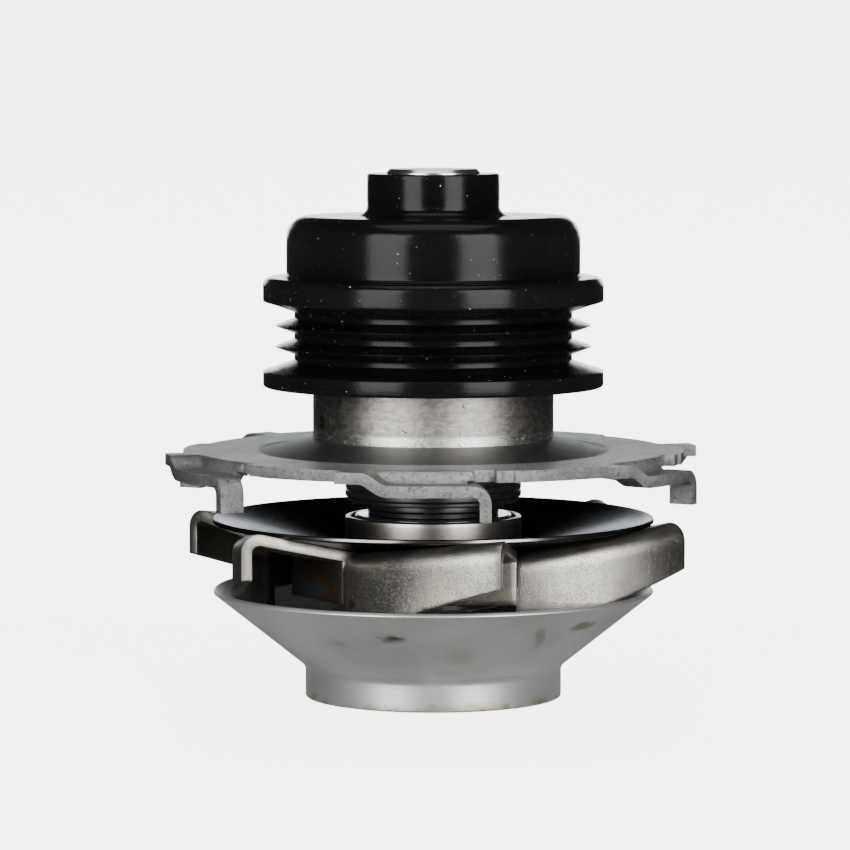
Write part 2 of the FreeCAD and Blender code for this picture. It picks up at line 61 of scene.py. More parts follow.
# %% [markdown]
# ## Reading places from the frame
# Each turned piece needs only its lowest and highest level and its outer radius. They come
# from the box of the CAD node that it stands for, so a changed frame moves every piece with it.

# %% Levels and radii of the CAD nodes


def low(node):
    """Lowest level of a CAD node, in millimetres."""
    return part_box(node)[0][2] / MM


def high(node):
    """Highest level of a CAD node, in millimetres."""
    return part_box(node)[1][2] / MM


def reach(node):
    """Outer radius of a round CAD node, in millimetres."""
    corner_low, corner_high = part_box(node)
    return (corner_high[1] - corner_low[1]) / 2 / MM


print("pulley from", round(low("drive_pulley"), 2), "to", round(high("drive_pulley"), 2))

# %% [markdown]
# ## Turned surfaces
# Most of the pump is turned or spun, so a piece is one outline carried round the Z axis. A
# Spin operator or a Screw modifier would do it too, but a grid of arrays gives exact control
# of the round corners, which is where metal catches the light.

# %% Outlines with round corners


def rounded(corners, closed=True, steps=7):
    """Points (r, z) of an outline. At a corner with a radius the two straight runs are joined
    by a circular arc that touches both: its centre lies on the bisector of the corner, at
    radius / sin(half angle), and it leaves the runs at radius / tan(half angle)."""
    points = []
    count = len(corners)
    for index, corner in enumerate(corners):
        here = np.array(corner[:2], float)
        radius = corner[2] if len(corner) > 2 else 0.0
        at_end = not closed and index in (0, count - 1)
        if radius <= 0.0 or at_end:
            points.append(here[None, :])
            continue
        before = np.array(corners[index - 1][:2], float) - here
        after = np.array(corners[(index + 1) % count][:2], float) - here
        before /= np.linalg.norm(before)
        after /= np.linalg.norm(after)
        half = math.acos(np.clip(before @ after, -1, 1)) / 2
        centre = here + (before + after) / np.linalg.norm(before + after) * radius / math.sin(half)
        first = here + before * radius / math.tan(half) - centre
        last = here + after * radius / math.tan(half) - centre
        t = np.linspace(0, 1, steps + 1)[:, None]
        spread = math.pi - 2 * half
        arc = (np.sin((1 - t) * spread) * first + np.sin(t * spread) * last) / math.sin(spread)
        points.append(centre + arc)
    return np.vstack(points)


def filled(outline, closed=True, longest=1.2):
    """The outline with its long straight runs divided, so that quads stay near square."""
    ends = np.vstack([outline[1:], outline[:1]]) if closed else outline[1:]
    starts = outline if closed else outline[:-1]
    parts = []
    for start, end in zip(starts, ends):
        pieces = max(1, math.ceil(np.linalg.norm(end - start) / longest))
        t = np.arange(pieces)[:, None] / pieces
        parts.append(start + (end - start) * t)
    if not closed:
        parts.append(outline[-1:])
    return np.vstack(parts)


print("outline helpers ready")

# %% Grids of quads and the lathe
TURNED_SHARP = 38.0             # degrees between faces, past which an edge is sharp
TURNED_WELD = 1e-6              # metres


def grid_quads(rows, columns, wrap_rows=False, wrap_columns=False, keep=None):
    """Index quads of a grid of points, row by row; keep is a mask of the cells that stay."""
    i = np.arange(rows if wrap_rows else rows - 1)
    j = np.arange(columns if wrap_columns else columns - 1)
    i, j = np.meshgrid(i, j, indexing="ij")
    i2, j2 = (i + 1) % rows, (j + 1) % columns
    quads = np.stack([i * columns + j, i * columns + j2, i2 * columns + j2, i2 * columns + j], -1)
    return quads.reshape(-1, 4) if keep is None else quads[keep]


def weld(work, distance):
    """Joins the vertices of a bmesh that meet and drops those that no face uses."""
    bmesh.ops.remove_doubles(work, verts=work.verts, dist=distance)
    loose = [vertex for vertex in work.verts if not vertex.link_faces]
    bmesh.ops.delete(work, geom=loose, context="VERTS")


def shaded(mesh, sharp):
    """Smooth shading, broken along edges that turn by more than sharp degrees."""
    mesh.shade_smooth()
    mesh.set_sharp_from_angle(angle=math.radians(sharp))


def linked(name, data):
    """An object for a mesh, a light or a camera, linked to the scene."""
    obj = bpy.data.objects.new(name, data)
    bpy.context.scene.collection.objects.link(obj)
    return obj


def mesh_object(name, points, quads):
    """A mesh object from points in millimetres and quads, welded, smooth, facing outwards."""
    mesh = bpy.data.meshes.new(name)
    mesh.vertices.add(len(points))
    mesh.vertices.foreach_set("co", (np.asarray(points) * MM).astype(np.float32).ravel())
    mesh.loops.add(quads.size)
    mesh.loops.foreach_set("vertex_index", quads.astype(np.int32).ravel())
    mesh.polygons.add(len(quads))
    mesh.polygons.foreach_set("loop_start", np.arange(0, quads.size, 4, dtype=np.int32))
    mesh.update(calc_edges=True)
    work = bmesh.new()
    work.from_mesh(mesh)
    weld(work, TURNED_WELD)
    bmesh.ops.recalc_face_normals(work, faces=work.faces)
    work.to_mesh(mesh)
    work.free()
    shaded(mesh, TURNED_SHARP)
    return linked(name, mesh)


def lathe(name, outline, closed=True, around=256, longest=1.2):
    """Surface of revolution: point (r, z) of the outline at azimuth a becomes
    (r cos a, r sin a, z), for whole arrays of r, z and a at once."""
    outline = filled(np.asarray(outline, float), closed, longest)
    angle = np.arange(around) * 2 * np.pi / around
    r, a = np.meshgrid(outline[:, 0], angle, indexing="ij")
    z = np.repeat(outline[:, 1], around)
    points = np.stack([(r * np.cos(a)).ravel(), (r * np.sin(a)).ravel(), z], 1)
    quads = grid_quads(len(outline), around, wrap_rows=closed, wrap_columns=True)
    obj = mesh_object(name, points, quads)
    print(name, "has", len(obj.data.polygons), "faces")
    return obj


def stands_for(obj, node, material):
    """The piece replaces a CAD node, rides on its body and wears a material."""
    body = next(b for b, members in frame["record"]["behaviour"]["bodies"].items()
                if node in members)
    obj.data.materials.clear()
    obj.data.materials.append(material)
    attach(obj, body)
    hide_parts(node)
    return obj


# %% [markdown]
# ## Building blocks for the finishes
# A bare metal surface is never one colour: it has grain, turned lines, stains and patches that
# are duller than others. Each finish is a small node tree that mixes noises of different sizes
# in Object coordinates, so a pattern keeps its real size in millimetres and stays with the
# piece when it turns.

# %% A new finish and its arithmetic


def start_finish(name, metallic=0.0, specular=0.5):
    """A material with its Principled shader; even values go on the shader's own sockets."""
    material = bpy.data.materials.new(name)
    material.use_nodes = True
    tree = material.node_tree
    shader = tree.nodes["Principled BSDF"]
    shader.inputs["Metallic"].default_value = metallic
    shader.inputs["Specular IOR Level"].default_value = specular
    return material, tree, shader


def feed(tree, socket, value):
    """Links another node's output to a socket, or sets a plain value on it."""
    if hasattr(value, "is_linked"):
        tree.links.new(value, socket)
    else:
        socket.default_value = value


def math_node(tree, operation, first, second=None, clamp=False):
    """One arithmetic node; each operand is a number or another node's output."""
    node = tree.nodes.new("ShaderNodeMath")
    node.operation = operation
    node.use_clamp = clamp
    feed(tree, node.inputs[0], first)
    if second is not None:
        feed(tree, node.inputs[1], second)
    return node.outputs[0]


def times(tree, first, second, clamp=False):
    return math_node(tree, "MULTIPLY", first, second, clamp)


def plus(tree, first, second, clamp=False):
    return math_node(tree, "ADD", first, second, clamp)


print("finish and arithmetic helpers ready")

# %% Coordinates in millimetres


def place(tree):
    """Object coordinates in millimetres."""
    coordinates = tree.nodes.new("ShaderNodeTexCoord")
    scale = tree.nodes.new("ShaderNodeVectorMath")
    scale.operation = "SCALE"
    scale.inputs["Scale"].default_value = 1 / MM
    tree.links.new(coordinates.outputs["Object"], scale.inputs[0])
    return scale.outputs["Vector"]


def stretched(tree, vector, factors):
    """The coordinates times one factor for each axis, which makes a noise long or short."""
    node = tree.nodes.new("ShaderNodeVectorMath")
    node.operation = "MULTIPLY"
    node.inputs[1].default_value = factors
    tree.links.new(vector, node.inputs[0])
    return node.outputs["Vector"]


def split(tree, vector):
    """The x, y and z of a vector."""
    node = tree.nodes.new("ShaderNodeSeparateXYZ")
    tree.links.new(vector, node.inputs[0])
    return node.outputs[0], node.outputs[1], node.outputs[2]


def axis_distance(tree):
    """Distance from the Z axis: the root of x squared plus y squared."""
    x, y, _ = split(tree, place(tree))
    return math_node(tree, "SQRT", plus(tree, times(tree, x, x), times(tree, y, y)))


def turned_place(tree, along=0.012):
    """Coordinates for turned lines: radius and height as they are, the azimuth hardly at all,
    so that a noise becomes long marks that run round the piece."""
    x, y, z = split(tree, place(tree))
    node = tree.nodes.new("ShaderNodeCombineXYZ")
    swing = times(tree, plus(tree, x, y), along)
    for socket, value in zip(node.inputs, (axis_distance(tree), swing, z)):
        feed(tree, socket, value)
    return node.outputs[0]


print("coordinate helpers ready")

# %% Noises, masks and stains


def noise(tree, vector, scale, detail=4.0, roughness=0.55, distortion=0.0):
    """A noise from 0 to 1 whose spots are about 1 / scale millimetres wide."""
    node = tree.nodes.new("ShaderNodeTexNoise")
    node.inputs["Scale"].default_value = scale
    node.inputs["Detail"].default_value = detail
    node.inputs["Roughness"].default_value = roughness
    node.inputs["Distortion"].default_value = distortion
    tree.links.new(vector, node.inputs["Vector"])
    return node.outputs["Fac"]


def step(tree, value, start, end):
    """0 below start, 1 above end, smooth between them; start above end turns it round."""
    node = tree.nodes.new("ShaderNodeMapRange")
    node.interpolation_type = "SMOOTHSTEP"
    node.inputs["From Min"].default_value = start
    node.inputs["From Max"].default_value = end
    tree.links.new(value, node.inputs["Value"])
    return node.outputs["Result"]


def between(tree, value, low_value, high_value):
    """Maps 0 to 1 onto a range."""
    node = tree.nodes.new("ShaderNodeMapRange")
    node.inputs["To Min"].default_value = low_value
    node.inputs["To Max"].default_value = high_value
    tree.links.new(value, node.inputs["Value"])
    return node.outputs["Result"]


def patch(tree, centre, size, ragged=0.6):
    """A ragged stain: 1 near a centre, 0 beyond its size. The distance from the centre, in
    shares of the size, is moved by a noise before a step makes the rim."""
    shift = tree.nodes.new("ShaderNodeVectorMath")
    shift.operation = "SUBTRACT"
    shift.inputs[1].default_value = centre
    tree.links.new(place(tree), shift.inputs[0])
    shape = stretched(tree, shift.outputs["Vector"], [1 / part for part in size])
    length = tree.nodes.new("ShaderNodeVectorMath")
    length.operation = "LENGTH"
    tree.links.new(shape, length.inputs[0])
    even = math_node(tree, "SUBTRACT", noise(tree, place(tree), 0.8, 5.0, 0.7), 0.5)
    wobble = times(tree, even, ragged * 2.4)
    return step(tree, plus(tree, length.outputs["Value"], wobble), 1.0, 0.45)


print("noise and mask helpers ready")

# %% Colour, roughness and bump


def blended(tree, amount, first, second):
    """Mixes two colours, each an output or an (r, g, b)."""
    node = tree.nodes.new("ShaderNodeMix")
    node.data_type = "RGBA"
    tree.links.new(amount, node.inputs["Factor"])
    for socket, value in ((node.inputs[6], first), (node.inputs[7], second)):
        feed(tree, socket, (*value, 1.0) if isinstance(value, tuple) else value)
    return node.outputs[2]


def tinted(tree, mask, strength, colour, tint):
    """The colour, moved towards a tint by a share of the mask."""
    return blended(tree, times(tree, mask, strength), colour, tint)


def scaled(colour, factor):
    """An (r, g, b) made darker or lighter."""
    return tuple(part * factor for part in colour)


def set_colour(tree, shader, socket):
    tree.links.new(socket, shader.inputs["Base Color"])


def set_roughness(tree, shader, socket):
    tree.links.new(socket, shader.inputs["Roughness"])


def bumped(tree, shader, layers):
    """Chains bump nodes: each layer is (height output, depth in millimetres)."""
    normal = None
    for height, depth in layers:
        node = tree.nodes.new("ShaderNodeBump")
        node.inputs["Strength"].default_value = 1.0
        node.inputs["Distance"].default_value = depth * MM
        tree.links.new(height, node.inputs["Height"])
        if normal is not None:
            tree.links.new(normal, node.inputs["Normal"])
        normal = node.outputs["Normal"]
    tree.links.new(normal, shader.inputs["Normal"])


print("colour and bump helpers ready")

# %% [markdown]
# ## The pulley's black coat
# The pulley is steel under a thin, glossy black coat. The turned lines of the steel show
# through it as a fine ripple, and handling leaves a few light nicks and some dust. A nearly
# black base with a weak reflection leaves only the soft boxes to be seen in it; the nicks and
# the dust are the rare peaks of small noises.

# %% Black coat


def black_coat():
    material, tree, shader = start_finish("gloss_black_coat", specular=0.10)
    spot = place(tree)
    ripple = noise(tree, turned_place(tree), 2.6, 3.0, 0.6)
    cloud = noise(tree, spot, 0.16, 3.0, 0.5)
    nick = step(tree, noise(tree, spot, 2.3, 2.0, 0.5), 0.755, 0.775)
    dust = step(tree, noise(tree, spot, 5.5, 2.0, 0.6), 0.70, 0.76)
    colour = blended(tree, cloud, (0.0012, 0.0014, 0.0013), (0.0026, 0.0030, 0.0028))
    colour = tinted(tree, dust, 0.25, colour, (0.09, 0.09, 0.085))
    set_colour(tree, shader, blended(tree, nick, colour, (0.36, 0.35, 0.33)))
    rough = between(tree, noise(tree, turned_place(tree), 1.1, 3.0, 0.6), 0.13, 0.24)
    set_roughness(tree, shader, plus(tree, rough, times(tree, nick, 0.3)))
    bumped(tree, shader, [(ripple, 0.010), (noise(tree, spot, 1.4, 2.0, 0.5), 0.012),
                          (nick, -0.02)])
    return material


black = black_coat()
print("finish", black.name)

# %% [markdown]
# ## The belt pulley
# One turned piece: a boss pressed on the shaft, a cup that hides the bearing sleeve, and a
# rim with two flanges and three V-grooves for a ribbed belt. The outline is given corner by
# corner with the radius of each corner; the ribs follow from the belt's pitch of 3.56 mm and
# its 40 degree grooves, so a loop writes them.

# %% Pulley outline and surface
GROOVE_PITCH = 3.56
GROOVE_COUNT = 3
GROOVE_DEPTH = 3.35
GROOVE_FLOOR = 1.12
GROOVE_SLOPE = math.tan(math.radians(20))   # half of the groove's angle
RIB_INSET, KNEE_INSET = 1.95, 2.15          # of the rib tips and the flanges' inner knees
LOWER_FLANGE, UPPER_FLANGE = 2.7, 4.1       # thicknesses
FLANGE_CHAMFER = 0.6
BOSS_WALL, CUP_WALL = 1.72, 3.65
SLEEVE_ROOM = 0.8                           # between the sleeve and the pulley's hollow
BOSS_CLEARANCE = 0.9                        # between the sleeve's top and the boss
JOURNAL_R = 7.96                            # of the shaft where pieces are pressed on it


def pulley_outline():
    """Closed outline (r, z, corner radius), from the hollow's mouth round the outside."""
    outer, bottom, top = reach("drive_pulley"), low("drive_pulley"), high("drive_pulley")
    sleeve_top = high("bearing_housing")
    hollow = reach("bearing_housing") + SLEEVE_ROOM
    rib, knee = outer - RIB_INSET, outer - KNEE_INSET
    groove = rib - GROOVE_DEPTH
    knee_rise = GROOVE_FLOOR / 2 + (knee - groove) * GROOVE_SLOPE
    first = bottom + LOWER_FLANGE + FLANGE_CHAMFER + knee_rise
    last = first + GROOVE_PITCH * (GROOVE_COUNT - 1)
    flange_top = last + knee_rise + FLANGE_CHAMFER + UPPER_FLANGE
    cup, shoulder, boss = hollow + CUP_WALL, top - 7.1, reach("bearing_shaft") + BOSS_WALL
    ceiling = sleeve_top + BOSS_CLEARANCE
    corners = [(hollow, bottom, 0.3), (outer, bottom, 0.5),
               (outer, first - knee_rise - FLANGE_CHAMFER, 0.3),
               (knee + 0.12, first - knee_rise, 0.12)]
    for index in range(GROOVE_COUNT):
        level = first + GROOVE_PITCH * index
        corners += [(groove, level - GROOVE_FLOOR / 2, 0.35),
                    (groove, level + GROOVE_FLOOR / 2, 0.35)]
        if index < GROOVE_COUNT - 1:
            corners.append((rib, level + GROOVE_PITCH / 2, 0.07))
    corners += [(knee + 0.12, last + knee_rise, 0.12),
                (outer, last + knee_rise + FLANGE_CHAMFER, 0.3),
                (outer, flange_top, 1.4), (cup, flange_top, 0.7), (cup, shoulder, 3.5),
                (boss, shoulder, 1.8), (boss, top, 0.35), (JOURNAL_R, top, 0.15),
                (JOURNAL_R, ceiling), (boss, ceiling, 0.3), (boss, ceiling + 1.0, 0.5),
                (hollow, ceiling + 1.0, 2.0)]
    return corners


pulley = lathe("pulley_turned", rounded(pulley_outline()), around=320)
stands_for(pulley, "drive_pulley", black)

# %% [markdown]
# ## The shaft's end
# The bearing shaft is hardened and ground. Its end face stands just out of the boss and shows
# the fine rings that the grinding wheel left, so its noise runs round the axis, and its
# edge is chamfered so that the pulley can be pressed on.

# %% Ground shaft


def ground_steel(name, colour, rough_low, rough_high, lines=0.006):
    material, tree, shader = start_finish(name, metallic=1.0)
    rings = noise(tree, turned_place(tree, 0.03), 3.5, 4.0, 0.65)
    cloud = noise(tree, place(tree), 0.35, 3.0, 0.55)
    set_colour(tree, shader, blended(tree, cloud, scaled(colour, 0.72), colour))
    set_roughness(tree, shader, between(tree, rings, rough_low, rough_high))
    bumped(tree, shader, [(rings, lines), (noise(tree, place(tree), 2.0, 3.0, 0.6), 0.004)])
    return material


shaft_steel = ground_steel("ground_shaft_steel", (0.66, 0.65, 0.63), 0.14, 0.34)


def shaft_outline():
    """Open outline from the lower pole to the upper pole of the shaft."""
    bottom, top, thick = low("bearing_shaft"), high("bearing_shaft"), reach("bearing_shaft")
    chamfer = 0.6
    lower_step, upper_step = low("bearing_outer_ring"), high("bearing_housing") + BOSS_CLEARANCE
    return [(0, bottom), (JOURNAL_R - chamfer, bottom, 0.1), (JOURNAL_R, bottom + chamfer, 0.1),
            (JOURNAL_R, lower_step), (thick, lower_step, 0.2), (thick, upper_step, 0.2),
            (JOURNAL_R, upper_step), (JOURNAL_R, top - chamfer, 0.25),
            (JOURNAL_R - chamfer, top, 0.25), (0, top)]


shaft = lathe("bearing_shaft_ground", rounded(shaft_outline(), closed=False), closed=False,
              around=192)
stands_for(shaft, "bearing_shaft", shaft_steel)

# %% [markdown]
# ## The bearing sleeve
# The sleeve is a plain drawn tube of raw steel. It is the roughest surface on the pump:
# warm grey with darker mottling, pits and light scratches that run mostly round it, and near
# the plate a smoother band where a tool gripped it. A weep hole goes through the wall.
# A Boolean cuts the hole, because a drilled hole across a round wall is a true cut.

# %% Sleeve finish and surface
SLEEVE_WALL = 1.2
LIP_HEIGHT = 1.5                # of the lip that the seal cup is pressed into
PLATE_DISH = 2.0                # the plate's rise from its land to the sleeve
WEEP_AZIMUTH = -66.5            # degrees from -Y towards +X
WEEP_RISE, WEEP_R = 5.1, 1.25   # the hole's centre above the plate's land, and its radius


def sleeve_steel():
    material, tree, shader = start_finish("raw_sleeve_steel", metallic=1.0)
    spot = place(tree)
    height = split(tree, spot)[2]
    bottom = high("lock_plate")
    band = step(tree, height, bottom + 1.9, bottom + 1.2)
    mottle = noise(tree, stretched(tree, spot, [1.0, 1.0, 1.6]), 0.75, 6.0, 0.72)
    grain = noise(tree, spot, 3.2, 5.0, 0.7)
    lines = noise(tree, turned_place(tree, 0.06), 1.6, 5.0, 0.7)
    pits = step(tree, noise(tree, spot, 1.5, 4.0, 0.65), 0.63, 0.72)
    dark, light = (0.15, 0.14, 0.125), (0.31, 0.298, 0.275)
    colour = blended(tree, step(tree, mottle, 0.35, 0.65), dark, light)
    colour = tinted(tree, grain, 0.45, colour, (0.27, 0.26, 0.245))
    scratch = step(tree, noise(tree, turned_place(tree, 0.16), 2.4, 3.0, 0.6), 0.66, 0.74)
    colour = tinted(tree, scratch, 0.5, colour, (0.52, 0.50, 0.47))
    colour = tinted(tree, pits, 0.7, colour, (0.07, 0.062, 0.055))
    colour = blended(tree, band, colour, (0.47, 0.46, 0.44))
    set_colour(tree, shader, colour)
    rough = between(tree, mottle, 0.26, 0.46)
    set_roughness(tree, shader, plus(tree, rough, times(tree, band, -0.10), clamp=True))
    bumped(tree, shader, [(lines, 0.035), (grain, 0.05), (pits, -0.06)])
    return material


def sleeve_outline():
    """Closed outline (r, z, corner radius) of the tube, with an inward lip at its foot."""
    outer, bottom, top = reach("bearing_housing"), low("bearing_housing"), high("bearing_housing")
    inner, lip = outer - SLEEVE_WALL, reach("seal_cup")
    return [(lip, bottom), (outer, bottom, 0.3), (outer, top, 0.5), (inner, top, 0.3),
            (inner, bottom + LIP_HEIGHT, 0.4), (lip, bottom + LIP_HEIGHT)]


def settle(obj, sharp):
    """Applies the modifiers, so that the mesh is the finished one, and shades it."""
    depsgraph = bpy.context.evaluated_depsgraph_get()
    obj.data = bpy.data.meshes.new_from_object(obj.evaluated_get(depsgraph))
    obj.modifiers.clear()
    shaded(obj.data, sharp)


def drilled(obj, centre_height, radius, azimuth, sides=48, length=40.0):
    """Cuts a round radial hole: a fine cylinder from the axis outwards is taken away. Its
    points are s * outward + radius * (cos t * side + sin t * up)."""
    turn = np.arange(sides) * 2 * np.pi / sides
    along = np.array([0.0, length])
    t, s = np.meshgrid(turn, along, indexing="ij")
    a = math.radians(azimuth)
    outward = np.array([math.sin(a), -math.cos(a), 0])
    side = np.array([math.cos(a), math.sin(a), 0])
    points = (s[..., None] * outward + radius * np.cos(t)[..., None] * side
              + (centre_height + radius * np.sin(t))[..., None] * np.array([0, 0, 1]))
    quads = grid_quads(sides, 2, wrap_rows=True)
    drill = mesh_object("drill", points.reshape(-1, 3), quads)
    work = bmesh.new()
    work.from_mesh(drill.data)
    bmesh.ops.holes_fill(work, edges=work.edges, sides=sides)
    bmesh.ops.recalc_face_normals(work, faces=work.faces)
    work.to_mesh(drill.data)
    work.free()
    cut = obj.modifiers.new("weep_hole", "BOOLEAN")
    cut.operation = "DIFFERENCE"
    cut.object = drill
    cut.solver = "EXACT"
    settle(obj, TURNED_SHARP)
    bpy.data.objects.remove(drill)


sleeve = lathe("bearing_sleeve", rounded(sleeve_outline()), around=256)
drilled(sleeve, high("lock_plate") - PLATE_DISH + WEEP_RISE, WEEP_R, WEEP_AZIMUTH)
stands_for(sleeve, "bearing_housing", sleeve_steel())

# %% [markdown]
# ## Sheet-metal pieces
# The plate, the vanes and both shrouds are pressed from sheet. A sheet is easiest to shape as
# one skin, its outer surface, which a Solidify modifier then gives its wall and a Bevel
# modifier its rounded shear edges. The skin must face outwards, because the wall grows inwards.

# %% Skins, walls and turned sheet outlines
SHEET_SHARP = 35.0              # degrees between faces
SHEET_WELD = 2e-6               # metres
SHEAR_EDGE_ANGLE = 50           # degrees; a sharper turn than this gets a round edge
END_ROUND = 0.32                # of the sheet's thickness, at the ends of a turned sheet


def sheet_object(name, patches, up_at, thickness, edge):
    """Patches of (points, quads) become one skin. The face nearest to up_at, a pair of a place
    and a direction, must look along that direction, or every face is turned over."""
    points, quads, start = [], [], 0
    for patch_points, patch_quads in patches:
        points.append(patch_points)
        quads.append(patch_quads + start)
        start += len(patch_points)
    mesh = bpy.data.meshes.new(name)
    mesh.from_pydata(np.vstack(points) * MM, [], np.vstack(quads))
    work = bmesh.new()
    work.from_mesh(mesh)
    weld(work, SHEET_WELD)
    target, direction = np.array(up_at[0]) * MM, np.array(up_at[1])
    nearest = min(work.faces, key=lambda f: np.linalg.norm(np.array(f.calc_center_median())
                                                           - target))
    if np.dot(np.array(nearest.normal), direction) < 0:
        bmesh.ops.reverse_faces(work, faces=work.faces)
    work.to_mesh(mesh)
    work.free()
    obj = linked(name, mesh)
    wall = obj.modifiers.new("wall", "SOLIDIFY")
    wall.thickness = thickness * MM
    wall.offset = -1
    wall.use_even_offset = True
    rim = obj.modifiers.new("shear_edges", "BEVEL")
    rim.width = edge * MM
    rim.segments = 2
    rim.limit_method = "ANGLE"
    rim.angle_limit = math.radians(SHEAR_EDGE_ANGLE)
    rim.use_clamp_overlap = True
    settle(obj, SHEET_SHARP)
    print(name, "has", len(obj.data.polygons), "faces")
    return obj


def sheet_outline(path, thickness):
    """Closed outline of a bent sheet. The far side is the path moved to its left along the
    sum of the two unit normals at each corner, divided by 1 + their product."""
    run = np.diff(np.array([point[:2] for point in path], float), axis=0)
    normal = np.stack([-run[:, 1], run[:, 0]], 1) / np.linalg.norm(run, axis=1)[:, None]
    far = []
    for index, point in enumerate(path):
        first, second = normal[max(index - 1, 0)], normal[min(index, len(path) - 2)]
        move = (first + second) / (1 + first @ second) * thickness
        radius = point[2] if len(point) > 2 else 0.0
        if radius > 0 and 0 < index < len(path) - 1:
            turn = first[0] * second[1] - first[1] * second[0]
            radius += -thickness if turn > 0 else thickness
        far.append((point[0] + move[0], point[1] + move[1], radius))
    ends = END_ROUND * thickness
    near = [list(point) + [0.0] * (3 - len(point)) for point in path]
    near[0][2] = near[-1][2] = ends
    far = [list(point) for point in far]
    far[0][2] = far[-1][2] = ends
    return near + far[::-1]


print("sheet helpers ready")

# %% [markdown]
# ## The lock plate
# The plate is one stamping: a raised cone round the sleeve, a flat land, and six lugs whose
# floor is pressed down and ends in a bent-down leg. Its plan repeats six times, so the skin is
# a polar grid whose height is a formula and whose cells outside the plan are left out. The
# legs are small grids of their own that carry on from the floor's edge.

# %% Plate sizes
PLATE_SHEET = 1.9
LUG_COUNT = 6
LAND_R, CONE_FOOT_R = 30.0, 29.2        # where the flat land starts and the raised cone ends
DISC_R, SHOULDER_R, LUG_R = 41.8, 42.3, 45.6
POCKET_R, FLOOR_R = 40.0, 41.4          # the pressed wall of a lug runs between these
LUG_DROP = 2.0
LEG_INNER_R, LEG_START = 41.4, 7.5      # azimuths are in degrees from a leg's own line
JOG_START, JOG_END = -14.8, -9.2
LUG_END, NOTCH_END, SHOULDER_START = 9.0, 14.0, 18.0
SECTOR_START = -20.5
LEG_BEND, LEG_FACE = 3.0, 9.24          # bend radius, and the leg's outer face from its axis
LEG_HEIGHT = 6.0                        # from a leg's foot to the underside of the land
STEP_DEGREES = 0.5
print("plate land from", LAND_R, "to", DISC_R, "mm,", LUG_COUNT, "lugs to", LUG_R, "mm")

# %% Plate skin


def turned_on(points, index, count):
    """Points turned about the Z axis by index of count equal steps, from -Y towards +X."""
    a = 2 * np.pi * index / count
    turn = np.array([[np.cos(a), np.sin(a), 0], [-np.sin(a), np.cos(a), 0], [0, 0, 1]])
    return points.reshape(-1, 3) @ turn


def smooth(value, start, end):
    """Smoothstep of whole arrays: 0 at start, 1 at end."""
    t = np.clip((value - start) / (end - start), 0, 1)
    return t * t * (3 - 2 * t)


def plate_patches():
    """Height = land + dish(r) - drop * ramp(azimuth) * ramp(r) at each polar grid point."""
    top = low("lock_plate") + LEG_HEIGHT + PLATE_SHEET
    sleeve_r = reach("bearing_housing")
    azimuth = np.arange(0, 360, STEP_DEGREES) + SECTOR_START
    radius = np.concatenate([np.linspace(sleeve_r, CONE_FOOT_R, 10),
                             [29.5, 29.75, LAND_R, 30.5, 32, 34, 36, 38, 39.2],
                             np.linspace(POCKET_R, FLOOR_R, 7),
                             [DISC_R, SHOULDER_R, 43.2, 44.4, LUG_R]])
    a, r = np.meshgrid(azimuth, radius, indexing="ij")
    local = (a - SECTOR_START) % (360 / LUG_COUNT) + SECTOR_START
    dish = np.interp(r, [sleeve_r, 29.45, 29.6, 30.4], [PLATE_DISH, -0.2, -0.2, 0.0])
    drop = LUG_DROP * smooth(local, JOG_START, JOG_END) * smooth(r, POCKET_R, FLOOR_R)
    drop *= local <= LUG_END + 0.01
    z = top + dish - drop
    angle = np.radians(a)
    points = np.stack([r * np.sin(angle), -r * np.cos(angle), z], -1).reshape(-1, 3)
    cell_a = local + STEP_DEGREES / 2
    cell_r = (radius + np.append(radius[1:], LUG_R + 1)) / 2
    outer = np.select([cell_a < LUG_END, cell_a < NOTCH_END, cell_a < SHOULDER_START],
                      [LUG_R, POCKET_R, DISC_R], SHOULDER_R)
    keep = cell_r[None, :] < outer
    under_leg = (cell_a > LEG_START) & (cell_a < LUG_END)
    keep &= ~under_leg | (cell_r[None, :] < LEG_INNER_R - 0.4)
    quads = grid_quads(len(azimuth), len(radius), wrap_rows=True, keep=keep[:, :-1])
    return [(points, quads)] + leg_patches(top, radius[radius >= LEG_INNER_R - 1e-6])


def leg_patches(top, radius):
    """A leg leaves the floor's edge, turns down on a quarter circle of LEG_BEND about the
    point (LEG_FACE - LEG_BEND, floor - LEG_BEND), and drops straight to its foot."""
    floor = top - LUG_DROP
    foot = low("lock_plate")
    turn = np.linspace(0, np.pi / 2, 8)
    x = np.concatenate([LEG_FACE - LEG_BEND + LEG_BEND * np.sin(turn), np.full(4, LEG_FACE)])
    z = np.concatenate([floor - LEG_BEND + LEG_BEND * np.cos(turn),
                        np.linspace(floor - LEG_BEND, foot, 5)[1:]])
    start = math.radians(LEG_START)
    x_grid, r_grid = np.meshgrid(x, radius, indexing="ij")
    z_grid = np.repeat(z[:, None], len(radius), 1)
    first = np.stack([radius * math.sin(start), -radius * math.cos(start),
                      np.full(len(radius), floor)], -1)
    leg = np.stack([x_grid, -r_grid * math.cos(start), z_grid], -1)
    leg = np.concatenate([first[None], leg])
    quads = grid_quads(len(x) + 1, len(radius))
    return [(turned_on(leg, index, LUG_COUNT), quads) for index in range(LUG_COUNT)]


plate = sheet_object("lock_plate_stamped", plate_patches(),
                     ((33, 0, high("lock_plate")), (0, 0, 1)), PLATE_SHEET, edge=0.3)
